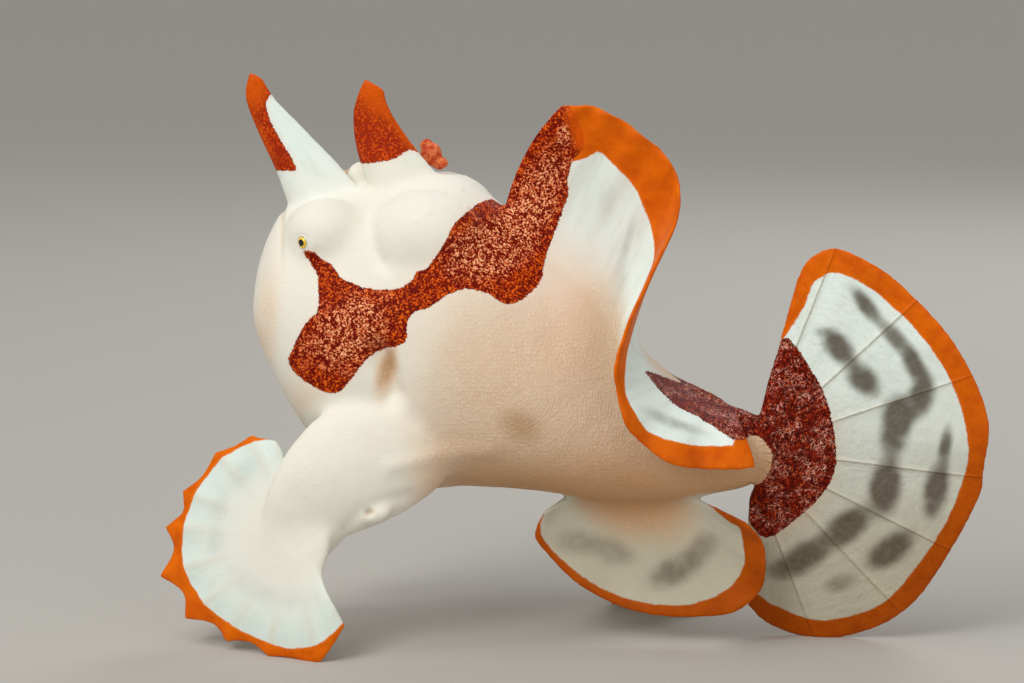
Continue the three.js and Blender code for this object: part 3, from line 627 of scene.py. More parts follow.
# Fins: place(u, v) is the middle of the sheet, u across the rays and v from the root to the margin
def thinning(v, end, power):
    """1 at a fin's root, falling to 0 at v = end."""
    return np.maximum(0, 1 - v / end) ** power


def fleshy(height, end, power):
    """The half thickness of a fin that is thicker by height at its root."""
    return lambda u, v: FIN_EDGE + height * thinning(v, end, power)


def spine_fin(spine):
    front = smooth_rows(spine["front"])
    rear = smooth_rows(spine["rear"])

    def place(u, v):
        return leaned_xz(between(front(v), rear(v), u), 0 * u)

    def half(u, v):
        across = np.sin(math.pi * u**0.7)
        return FIN_EDGE + across * (0.5 + spine["flesh"] * (1 - v) ** 1.3) * (1 - 0.6 * v)

    return place, half


def dorsal_fin():
    ray = smooth_rows(DORSAL)

    def place(u, v):
        row = ray(u)
        inner = v * 1.1 - 0.1
        push = 4 * inner * (1 - inner) * (inner > 0)
        root = stack(row[..., 0], 0 * u, row[..., 1])
        ripple = 0.38 * np.sin(2 * math.pi * u * (len(DORSAL) - 1)) * np.clip(v, 0, 1) ** 1.3
        point = between(root, row[..., 2:5], inner) + row[..., 5:8] * push[..., None]
        return leaned(point + ripple[..., None] * np.array([0, 1, 0]))

    def half(u, v):
        edge = np.clip(np.minimum(u, 1 - u) / 0.06, 0, 1)
        return FIN_EDGE + thinning(v, 0.42, 1.6) * (0.5 + 1.8 * (1 - u) ** 1.4) * edge

    return place, half


def anal_fin():
    margin = smooth_rows(ANAL_MARGIN)
    (root_front, root_z), (root_rear, _) = ANAL_ROOT

    def place(u, v):
        root = stack(root_front + (root_rear - root_front) * u, root_z + 0 * u)
        sideways = ANAL_FLARE * v**1.8 + 0.25 * np.sin(2 * math.pi * u * 6) * v**2
        return leaned_xz(between(root, margin(u), v), sideways)

    def half(u, v):
        return FIN_EDGE + 1.5 * thinning(v, 0.7, 1.5) * np.sin(math.pi * (0.1 + 0.8 * u))

    return place, half


def tail_fin():
    margin = smooth_rows(TAIL_MARGIN)
    root = smooth_rows(TAIL_ROOT)

    def place(u, v):
        ripple = 0.2 * np.sin(2 * math.pi * u * 8) * v**2
        return leaned_xz(between(root(u), margin(u), v), TAIL_CUP * v * v + ripple)

    return place, fleshy(1.3, 0.5, 1.6)


def scallop(u, rays, depth=SCALLOP):
    """How far the margin reaches at u: it falls back between one ray and the next."""
    return 1 - depth * np.abs(np.sin(math.pi * u * (rays - 1)))


def left_fan_axes():
    """The left fan's own directions: ahead, outwards and up."""
    ahead = np.array(LEFT_FAN_FORWARD)
    above = np.array(LEFT_FAN_UP)
    return ahead, unit(np.cross(above, ahead)), above


def left_fan():
    ray = smooth_rows(LEFT_FAN_RAYS)
    ahead, outward, above = left_fan_axes()
    rays = len(LEFT_FAN_RAYS)
    deep = LEFT_FAN_SCALLOP

    def place(u, v):
        row = ray(u)
        tip_turn = np.radians(row[..., 0])
        depth = deep["least"] + (deep["deepest"] - deep["least"]) * bell(u - deep["at"], deep["width"])
        tip = row[..., 1] * scallop(u, rays, depth)
        root_turn = tip_turn * np.where(tip_turn > 0, LEFT_PALM_SPREAD, 1.13)
        forward, rise = (
            LEFT_PALM_RADIUS * part(root_turn) * (1 - v) + tip * part(tip_turn) * v
            for part in (np.cos, np.sin)
        )
        cup = 0.9 * np.sin(math.pi * v) + 0.06 * np.cos(2 * math.pi * u * (rays - 1)) * v**3
        return (np.array(LEFT_FAN_PALM) + forward[..., None] * ahead + rise[..., None] * above
                + cup[..., None] * outward)

    return place, FAN_HALF


def right_fan():
    def place(u, v):
        angle = RIGHT_FAN_TURN * (2 * u - 1)
        sideways, outwards = np.sin(angle), np.cos(angle)
        reach = scallop(u, RIGHT_FAN_RAYS)
        foot = stack(
            RIGHT_FAN_PRINT[0] + RIGHT_FAN_HALF_PRINT[0] * sideways * reach,
            RIGHT_FAN_PRINT[1] + RIGHT_FAN_HALF_PRINT[1] * outwards * reach,
            FIN_EDGE + 9 * (1 - reach),
        )
        wrist = stack(
            RIGHT_FAN_PALM[0] + RIGHT_PALM_RADIUS * sideways,
            RIGHT_FAN_PALM[1] + RIGHT_PALM_RADIUS * 0.6 * outwards,
            RIGHT_FAN_PALM[2] - 1.2 + 0 * u,
        )
        return between(wrist, foot, v) + (0.8 * np.sin(math.pi * v))[..., None] * np.array([0, 0, 1])

    return place, FAN_HALF


def pelvic_fin(side):
    tip = smooth_rows(PELVIC_TIPS)

    def place(u, v):
        root = np.array(PELVIC_ROOT) + PELVIC_ROOT_HALF * (2 * u - 1)[..., None] * np.array([1, 0, 0])
        point = between(root, tip(u), v * scallop(u, len(PELVIC_TIPS)))
        return leaned(point * np.array([1, side, 1]))

    return place, fleshy(1.0, 0.6, 1.4)


def fin(kind, made, grid, rays, tone, **look):
    """One fin: its sheet's place and half thickness, the number or the places of its rays, and in tone the
    part of v over which the body's colour gives way to the fin's. In its look, band is the orange margin's
    width in mm from the first ray to the last, ends how much of it the first and last ray's own sides carry
    and ends_from where along v that starts; lines and veil are how strongly the rays show, as thin lines and
    broad streaks."""
    place, half = made
    places = np.linspace(0, 1, rays) if isinstance(rays, int) else np.array(rays)
    plain = {"band": (), "ends": (0, 0), "ends_from": 0.45, "lines": 0.0, "veil": 0.0}
    sheet = {"kind": kind, "place": place, "half": half, "grid": grid, "places": places, "tone": tone}
    return plain | sheet | look


FAN_HALF = fleshy(1.1, 0.5, 1.5)
FINS = [
    fin("spine_2", spine_fin(SPINE_2), (40, 80), 2, (0.05, 0.5)),
    fin("spine_3", spine_fin(SPINE_3), (40, 80), 2, (0.1, 0.9)),
    fin("dorsal", dorsal_fin(), (200, 80), 12, (0.02, 0.4), ends=(0, 1), lines=0.06, veil=0.15,
        band=[6.8, 5.4, 4.8, 5.2, 5.6, 5.6, 4.6, 3.0, 1.5, 1.5, 2.6, 3.0]),
    fin("anal", anal_fin(), (140, 60), 8, (0.2, 0.62), ends=(0, 0.8), ends_from=0.62, lines=0.08, veil=0.25,
        band=[0.1, 0.5, 0.8, 0.9, 1.0, 1.3, 2.3, 2.9, 2.7, 2.5, 1.5]),
    fin("tail", tail_fin(), (240, 110), [0.0, 0.15, 0.308, 0.39, 0.52, 0.61, 0.7, 0.855, 1.0], (0.1, 0.4),
        ends=(1, 0.6), lines=1.0, veil=0.3,
        band=[2.0, 2.3, 2.5, 2.5, 2.4, 2.2, 2.2, 2.2, 2.2, 2.3, 2.4, 2.4, 2.5, 2.6, 2.4]),
    fin("fan_left", left_fan(), (220, 80), 12, (0.0, 0.8), lines=0.05, veil=0.8,
        band=[0.0, 0.2, 0.8, 1.0, 1.4, 2.0, 2.6, 2.5, 1.7, 1.4, 1.6, 0.5]),
    fin("fan_right", right_fan(), (180, 60), 10, (0.15, 0.6), lines=0.05, veil=0.8,
        band=[1.0, 1.7, 2.1, 1.7, 1.0]),
] + [
    fin("pelvic_" + name, pelvic_fin(side), (90, 70), 5, (0.3, 0.8), lines=0.1, veil=0.5,
        band=[1.0, 1.6, 1.0])
    for name, side in SIDES.items()
]

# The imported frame's origin is under the middle of the fish: an eye tells how far that is from this one
eye_low, eye_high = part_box("eye_left")
LEFT_EYE = leaned(SOLID_EYE * np.array([1, SIDES["left"], 1]))
SHIFT = LEFT_EYE - np.array((eye_low + eye_high) / 2) / MM
SHIFT[2] = 0


def to_frame(points):
    return (np.asarray(points, float) - SHIFT) * MM


# Making the skin
def mesh_of(name, points, faces):
    mesh = bpy.data.meshes.new(name)
    mesh.from_pydata(np.asarray(points).tolist(), [], faces)
    mesh.update()
    return mesh


def linked(name, data):
    obj = bpy.data.objects.new(name, data)
    bpy.context.scene.collection.objects.link(obj)
    return obj


def finished(name, mesh, points=None, **fields):
    """The mesh as a smooth object, with its points moved and with the fields that its finish reads."""
    if points is not None:
        mesh.vertices.foreach_set("co", to_frame(points).astype(np.float32).ravel())
    for key, values in fields.items():
        layer = mesh.attributes.new(key, "FLOAT", "POINT")
        layer.data.foreach_set("value", np.asarray(values, np.float32))
    mesh.polygons.foreach_set("use_smooth", np.ones(len(mesh.polygons), bool))
    mesh.update()
    mesh.name = name
    return linked(name, mesh)


def remeshed(pieces, voxel):
    """One closed surface round overlapping pieces."""
    faces = []
    start = 0
    for piece_points, piece_faces in pieces:
        faces += [tuple(start + i for i in face) for face in piece_faces]
        start += len(piece_points)
    obj = linked("rough", mesh_of("rough", np.vstack([piece[0] for piece in pieces]), faces))
    modifier = obj.modifiers.new("Remesh", "REMESH")
    modifier.mode = "VOXEL"
    modifier.voxel_size = voxel
    modifier.adaptivity = 0
    evaluated = obj.evaluated_get(bpy.context.evaluated_depsgraph_get())
    mesh = bpy.data.meshes.new_from_object(evaluated)
    bpy.data.objects.remove(obj)
    return mesh


def read(items, key, width, kind):
    """One property of a mesh's items, as rows of numbers."""
    values = np.empty(len(items) * width, kind)
    items.foreach_get(key, values)
    return values.reshape(-1, width)


class Surface:
    """The points, edges and corners of a mesh as arrays, with the sums that smoothing needs."""

    def __init__(self, mesh):
        mesh.calc_loop_triangles()
        self.points = read(mesh.vertices, "co", 3, np.float32).astype(float)
        self.triangles = read(mesh.loop_triangles, "vertices", 3, np.int32)
        edges = read(mesh.edges, "vertices", 2, np.int32)
        self.ends = edges.T.ravel()
        self.others = edges[:, ::-1].T.ravel()
        self.degree = np.maximum(np.bincount(self.ends, minlength=len(self.points)), 1)

    def pull(self):
        """From each point to the mean of its neighbours."""
        columns = [
            np.bincount(self.ends, self.points[self.others, k], len(self.points)) / self.degree
            for k in range(3)
        ]
        return stack(*columns) - self.points

    def normals(self):
        a, b, c = (self.points[self.triangles[:, k]] for k in range(3))
        face = np.cross(b - a, c - a)
        return unit(stack(*[
            sum(np.bincount(self.triangles[:, k], face[:, axis], len(self.points)) for k in range(3))
            for axis in range(3)
        ]))

    def relax(self, rounds, hollow, crest, share=1.0, every=8):
        """Smooths hollows and crests by their own weights and by each point's share."""
        for i in range(rounds):
            if hollow != crest and i % every == 0:
                normals = self.normals()
            pull = self.pull() * share
            rising = (pull * normals).sum(1) > 0 if hollow != crest else True
            self.points += pull * np.where(rising, hollow, crest)[..., None]

    def soften(self, places, rounds, crest):
        """Smooths the surface round some places, each a centre and a reach in mm."""
        share = np.zeros(len(self.points))
        for centre, reach in places:
            share = np.maximum(share, step(np.linalg.norm(self.points - centre, axis=1), reach, 0.6 * reach))
        self.relax(rounds, 0.5, crest, share[:, None])


def refined(mesh, spots):
    """Divides the faces near some points of the mesh, twice and ever closer."""
    bm = bmesh.new()
    bm.from_mesh(mesh)
    for reach in EYE_REFINING:
        faces = [f for f in bm.faces if min((f.calc_center_median() - spot).length for spot in spots) < reach]
        edges = list({edge for face in faces for edge in face.edges})
        bmesh.ops.subdivide_edges(bm, edges=edges, cuts=1, use_grid_fill=True)
    bmesh.ops.triangulate(bm, faces=[f for f in bm.faces if len(f.verts) > 4])
    bm.to_mesh(mesh)
    bm.free()
    mesh.update()
    return mesh


def flesh_pieces():
    pieces = [body_piece()]
    pieces += [ball_piece(lump["at"] * np.array([1, side, 1]), lump["half"])
               for lump in SWELLINGS for side in SIDES.values()]
    pieces += [
        ball_piece(SPINE_FOLD["at"], SPINE_FOLD["half"]),
        arm_piece(LEFT_ARM, ARM_OUTWARD["left"]),
        palm_piece(),
        arm_piece(RIGHT_ARM, ARM_OUTWARD["right"]),
        ball_piece(RIGHT_HEEL["at"], RIGHT_HEEL["half"], lean=False),
    ]
    pieces += [ball_piece(gill["at"], gill["half"], lean=False) for gill in GILLS.values()]
    return pieces + [sheet_piece(each) for each in FINS]


def nearest_on_fins(points):
    """For each point the nearest fin, its place u, v there, the distance from its flesh and its stretch."""
    samples = []
    for number, each in enumerate(FINS):
        u, v, middle, along_u, along_v = sheet_grid(each)
        columns = [middle, along_u, along_v, stack(u, v, each["half"](u, v), 0 * u + number)]
        samples.append(np.concatenate(columns, -1).reshape(-1, 13))
    samples = np.vstack(samples)
    tree = KDTree(len(samples))
    for i, place in enumerate(samples[:, :3].tolist()):
        tree.insert(place, i)
    tree.balance()
    found = samples[[tree.find(point)[1] for point in points.tolist()]]
    middle, along_u, along_v = found[:, 0:3], found[:, 3:6], found[:, 6:9]
    u, v, half, number = found[:, 9:].T
    off = points - middle
    uu, vv, uv, du, dv = ((a * b).sum(1) for a, b in (
        (along_u, along_u), (along_v, along_v), (along_u, along_v), (off, along_u), (off, along_v)))
    bottom = np.maximum(uu * vv - uv * uv, 1e-9)
    move_u = np.clip((du * vv - dv * uv) / bottom, -0.01, 0.01)
    move_v = np.clip((dv * uu - du * uv) / bottom, -0.02, 0.02)
    return {
        "fin": number.astype(int),
        "u": np.clip(u + move_u, 0, 1),
        "v": np.clip(v + move_v, 0, 1),
        "gap": np.linalg.norm(off, axis=1) - half,
        "across": np.sqrt(uu),
        "along": np.sqrt(vv),
    }


def margin_distance(each, points):
    """How far points of a fin are inside the inner edge of its orange margin, in mm."""
    band = smooth_rows(np.array(each["band"])[:, None])
    u = np.linspace(0, 1, 260)
    # the margin without its scallops: its mean over the width of one ray
    window = np.minimum(0.5 / (len(each["places"]) - 1), np.minimum(u, 1 - u))
    shifted = [each["place"](u + shift * window, np.ones_like(u)) for shift in MARGIN_SHIFTS]
    lines = [(sum(shifted) / len(MARGIN_SHIFTS), band(u)[:, 0])]
    for end, share in zip((0.0, 1.0), each["ends"]):
        if share:
            v = np.linspace(each["ends_from"], 1, 60)
            width = share * step(v, each["ends_from"] - 0.05, 0.95) * float(band(end)[..., 0])
            lines.append((each["place"](np.full_like(v, end), v), width))
    result = np.full(len(points), FAR_AWAY)
    for places, widths in lines:
        for part in np.array_split(np.arange(len(points)), max(1, len(points) // 4000)):
            gaps = np.linalg.norm(points[part, None] - places[None], axis=2) - widths[None]
            result[part] = np.minimum(result[part], gaps.min(1))
    return result


def blotch_field(view, blotches):
    """Soft patches in the side view, 0 to about 1, that run into each other."""
    clear = np.ones(len(view))
    for centre, half_length, half_width, degrees, strength in blotches:
        turn = math.radians(degrees)
        off = view - np.array(centre)
        length = off @ np.array([math.cos(turn), math.sin(turn)]) / half_length
        width = off @ np.array([-math.sin(turn), math.cos(turn)]) / half_width
        clear *= 1 - strength * step(np.hypot(length, width), 1.6, 0.25)
    return 1 - clear


def skin_fields(points):
    """The measures of the skin's points that its finish reads, and those that only its relief reads."""
    on = nearest_on_fins(points)
    plain = upright(points)
    x, y, z = plain.T
    kind = {each["kind"]: on["fin"] == i for i, each in enumerate(FINS)}
    fin_share = step(on["gap"], 0.9, 0.15)
    paired = kind["fan_right"] | kind["fan_left"] | kind["pelvic_left"] | kind["pelvic_right"]
    unpaired = ~paired | (fin_share == 0)
    own_side = step(x, 28, 33) * unpaired
    left_y = np.where(unpaired, -np.abs(y) * (1 - own_side) + y * own_side, y)
    view = side_view(leaned(stack(x, left_y, z)))

    u, v = on["u"], on["v"]
    shown = {name: np.zeros(len(points)) for name in ("phase", "spacing", "lines", "veil", "tone", "blotch_and_fold_shade")}
    rim = np.full(len(points), FAR_AWAY)
    for number, each in enumerate(FINS):
        mine = on["fin"] == number
        places = each["places"]
        shown["phase"][mine] = np.interp(u[mine], places, np.arange(len(places))) + 20 * number
        width = np.interp(u[mine], (places[:-1] + places[1:]) / 2, np.diff(places))
        shown["spacing"][mine] = on["across"][mine] * width
        shown["lines"][mine] = each["lines"]
        shown["veil"][mine] = each["veil"]
        shown["tone"][mine] = step(v[mine], *each["tone"])
        if len(each["band"]):
            edged = mine & (fin_share > 0)
            rim[edged] = margin_distance(each, points[edged])
    for name, patches in FIN_BLOTCHES_AND_FOLD_SHADE.items():
        shown["blotch_and_fold_shade"][kind[name]] = blotch_field(view[kind[name]], patches)
    near_fin = step(on["gap"], 1.6, 0.1)
    for name, share in (("lines", fin_share), ("veil", fin_share), ("tone", near_fin), ("blotch_and_fold_shade", near_fin)):
        shown[name] *= share

    # Red: the saddle, the tail's patch and the free spines; the far shoulder stays white at its top
    on_spine = (kind["spine_2"] | kind["spine_3"]) & (fin_share > 0)
    horns = np.minimum(outline_distance(view, BLADE_MARK), outline_distance(view, HORN_MARK))
    patch = outline_distance(view, TAIL_PATCH)
    bare = 4 * step(y, 0.2, 2.5) * step(z, 49, 52) * step(x, 4, 1)
    marks = [outline_distance(view, SADDLE) + bare, patch, np.where(on_spine, horns, FAR_AWAY)]

    # How warm and beige the body is, from the white head back to the belly and the tail stalk; darker low on
    # the belly, partly painted shade
    on_arms = []
    for stations, far, near in ((LEFT_ARM, 10, 7.5), (RIGHT_ARM, 8, 6)):
        gap, place = line_distance(points, np.array(stations)[:, :3])
        on_arms.append(step(gap, far, near) * step(place, 0.6, 2.4))
    body = fin_share < 0.5
    trunk = step(x, -17, 2) * step(z, 54, 37)
    belly = step(z, 31, 18) * step(x, -19, -4)
    warm = np.clip(0.5 * trunk + 0.5 * belly, 0, 1) * (1 - 0.97 * np.maximum(*on_arms))
    mouth_gap, mouth_place = line_distance(stack(x, z), MOUTH)
    on_mouth = step(mouth_place, 5.6, 1.5) * step(x, -19, -21.5) * (1 - fin_share) * (z > 44)
    on_mouth *= 1 + 0.9 * step(x, -26.0, -27.8)
    shown |= {
        "fin": fin_share,
        "rim": rim,
        "reach": v * on["along"],
        "red": np.minimum.reduce(marks),
        "rust": step(patch, 3, 0),
        "pink": blotch_field(view, PINK_PATCHES),
        "fire": blotch_field(view, FIRE_PATCHES) * (on_spine | kind["dorsal"]),
        "spine": on_spine,
        # painted shade from the warmth patches in the dent under the cheek lobe and on the front of the face
        "warm": np.maximum(warm, 0.8 * blotch_field(view, WARMTH_AND_SHADE_PATCHES) * body * (1 - on_arms[0])),
        # darker low on the tail and anal fin: painted shade, partly the fins' own darker tone
        "low_tone_and_shade": (kind["tail"] | kind["anal"]) * step(z, 38, 8),
        # the tan spot on the trunk, and painted shade in the cheek dent and the gill opening
        "stain_and_shade": blotch_field(view, STAINS_AND_SHADE) * body * (left_y < 0),
        # where the mouth's crease takes painted shade
        "mouth": bell(mouth_gap, 0.4) * on_mouth,
    }
    return shown, {"v": v, "plain": plain, "view": view, "mouth_gap": mouth_gap, "on_mouth": on_mouth}


def eye_places():
    """Centre and gaze of each eye in the leaning fish."""
    places = {}
    for name, side in SIDES.items():
        mirror = np.array([1, side, 1])
        centre = leaned(EYE * mirror)
        places["eye_" + name] = (centre, unit(leaned(np.add(EYE, GAZE) * mirror) - centre))
    return places


def shape_lids(points):
    """Moves the skin near each eye onto a lid round the eyeball, with a round opening."""
    opening = math.asin(LID_OPENING / LID_RADIUS)
    for centre, gaze in eye_places().values():
        off = points - centre
        distance = np.linalg.norm(off, axis=1)
        near = distance < LID_REACH
        if not near.any():
            continue
        angle = np.arccos(np.clip(unit(off[near]) @ gaze, -1, 1))
        rise = distance[near] - LID_RADIUS
        held = LID_RADIUS + (rise + np.sqrt(rise**2 + LID_BLEND**2 * step(angle, 0.75, 1.3))) / 2
        inside = np.where(rise < 0.25, EYE_RADIUS - 0.22, distance[near])
        shape = inside + (held - inside) * step(angle, opening - 0.05, opening + 0.1)
        points[near] = centre + unit(off[near]) * shape[:, None]
    return points


def skin_relief(points, shown, hidden):
    """How far the skin stands out of its smooth shape, in mm."""
    view = hidden["view"]
    x, y, z = hidden["plain"].T
    body = 1 - shown["fin"]
    relief = body * sum(height * waves(points, period, seed) for height, period, seed in SKIN_WAVES)

    # Rays stand a little out of the fins
    to_ray = np.abs((shown["phase"] + 0.5) % 1 - 0.5) * shown["spacing"]
    swell = step(hidden["v"], 0.05, 0.3) * step(hidden["v"], 1.02, 0.75) * shown["fin"]
    relief += swell * (0.1 * shown["lines"] * bell(to_ray, 0.3) + 0.03 * shown["veil"] * bell(to_ray, 0.7))

    # Mouth
    gap = hidden["mouth_gap"]
    relief += hidden["on_mouth"] * (0.03 * bell(gap - 0.7, 0.5) - 0.16 * bell(gap, 0.34))

    # The hump's front, the dent under the cheek lobe and the belly fold on both sides, and the left gill's
    # crease
    gap, place = line_distance(view, HUMP_CREASE)
    relief -= body * 0.42 * bell(gap, 0.9) * step(place, 6.0, 4.4) * step(np.abs(y), 2.5, 5)
    for line, rise, width, shown_where in (
        (CHEEK_DENT, -1.7, 1.35, np.abs(y) > 4),
        (BELLY_FOLD, 0.3, 1.1, np.abs(y) > 3),
        (GILL_CREASE, -0.22, 0.8, points[:, 1] < -9),
    ):
        gap, _ = line_distance(view, line)
        relief += body * rise * bell(gap, width) * shown_where

    # Small warts along the chin and the back's outline
    wart = np.maximum(0, waves(points, 1.5, 21) - 1.3)
    relief += 0.07 * wart * body * (step(z, 29, 26) * step(z, 20, 23) * step(x, -16, -20) + step(z, 51, 54))
    return relief


def gill_pores(points):
    for side, gill in GILLS.items():
        outward = unit(ARM_OUTWARD[side])
        off = points - (np.array(gill["at"]) + outward * gill["half"][1])
        depth = off @ outward
        beside = np.linalg.norm(off - depth[:, None] * outward, axis=1)
        near = (np.abs(depth) < GILL_REACH) & (beside < GILL_REACH)
        points[near] -= outward * (GILL_DEPTH * bell(beside[near], GILL_PORE))[:, None]
    return points


def make_skin():
    mesh = remeshed(flesh_pieces(), VOXEL)
    surface = Surface(mesh)
    surface.relax(FLESH_ROUNDS, HOLLOW, CREST, every=4)
    soft_places = {
        "dome": [(leaned([x, side * y, z]), reach)
                 for x, y, z, reach in SOFT_SPOTS for side in SIDES.values()],
        "arm": [(np.array(place), reach) for *place, reach in ARM_SOFT_SPOTS],
        "gill": [(np.array(gill["at"]), GILL_SOFT_REACH) for gill in GILLS.values()],
        "heel": [(np.array(RIGHT_HEEL["at"]), RIGHT_HEEL["reach"])],
    }
    for name, places in soft_places.items():
        surface.soften(places, *SOFTENING[name])
    mesh.vertices.foreach_set("co", surface.points.astype(np.float32).ravel())
    surface = Surface(refined(mesh, [Vector(centre) for centre, _ in eye_places().values()]))
    surface.relax(2, 0.5, 0.5)
    shown, hidden = skin_fields(surface.points)
    points = surface.points + surface.normals() * skin_relief(surface.points, shown, hidden)[:, None]
    points = gill_pores(shape_lids(points))
    points[:, 2] = np.maximum(points[:, 2], 0)
    return finished("skin", mesh, points, **shown)


# Finishes
def color(name):
    """A colour of the palette in the linear form that shaders use."""
    channels = [value / 255 for value in PALETTE[name]]
    return [c / 12.92 if c <= 0.04045 else ((c + 0.055) / 1.055) ** 2.4 for c in channels] + [1]


class Value:
    """A node's output, which adds, subtracts and multiplies as a number does."""

    def __init__(self, finish, socket):
        self.finish = finish
        self.socket = socket

    def __add__(self, other):
        return self.finish.math("ADD", self, other)

    def __sub__(self, other):
        return self.finish.math("SUBTRACT", self, other)

    def __rsub__(self, other):
        return self.finish.math("SUBTRACT", other, self)

    def __mul__(self, other):
        return self.finish.math("MULTIPLY", self, other)


class Finish:
    """A material made of nodes. Their inputs are numbers, colours or the values of other nodes."""

    def __init__(self, name, **surface):
        self.material = bpy.data.materials.new(name)
        self.material.use_nodes = True
        self.tree = self.material.node_tree
        self.surface = self.tree.nodes["Principled BSDF"]
        for key, value in surface.items():
            self.set(key.replace("_", " "), value)

    def feed(self, socket, value):
        if isinstance(value, Value):
            self.tree.links.new(value.socket, socket)
        else:
            socket.default_value = value

    def set(self, name, value):
        self.feed(self.surface.inputs[name], value)

    def add(self, kind, output, inputs, **settings):
        node = self.tree.nodes.new("ShaderNode" + kind)
        for key, value in settings.items():
            setattr(node, key, value)
        for key, value in inputs.items():
            self.feed(node.inputs[key], value)
        return Value(self, node.outputs[output])

    def field(self, name):
        return self.add("Attribute", "Fac", {}, attribute_name=name)

    def position(self):
        """The place on the object, in mm."""
        place = self.add("TexCoord", "Object", {})
        return self.add("VectorMath", 0, {0: place, "Scale": 1 / MM}, operation="SCALE")

    def vector(self, x, y, z=0.0):
        return self.add("CombineXYZ", 0, {0: x, 1: y, 2: z})

    def vectors(self, operation, a, b):
        return self.add("VectorMath", 0, {0: a, 1: b}, operation=operation)

    def math(self, operation, a, b=0.0):
        return self.add("Math", 0, {0: a, 1: b}, operation=operation)

    def ease(self, value, low, high):
        return self.add("MapRange", 0, {"Value": value, "From Min": low, "From Max": high},
                        interpolation_type="SMOOTHSTEP")

    def layered(self, paint, *layers):
        """A colour with others laid over it, each with its share; names are those of the palette."""
        for share, layer in layers:
            a, b = (color(each) if isinstance(each, str) else each for each in (paint, layer))
            paint = self.add("Mix", 2, {0: share, 6: a, 7: b}, data_type="RGBA")
        return paint

    def noise(self, place, scale, detail=2.0, roughness=0.5, distortion=0.0):
        inputs = {"Vector": place, "Scale": scale, "Detail": detail, "Roughness": roughness}
        return self.add("TexNoise", 0, inputs | {"Distortion": distortion})

    def cells(self, place, scale, randomness=1.0):
        return self.add("TexVoronoi", 0, {"Vector": place, "Scale": scale, "Randomness": randomness})

    def bump(self, height, distance, strength=1.0):
        inputs = {"Height": height, "Distance": distance * MM, "Strength": strength}
        self.set("Normal", self.add("Bump", 0, inputs))


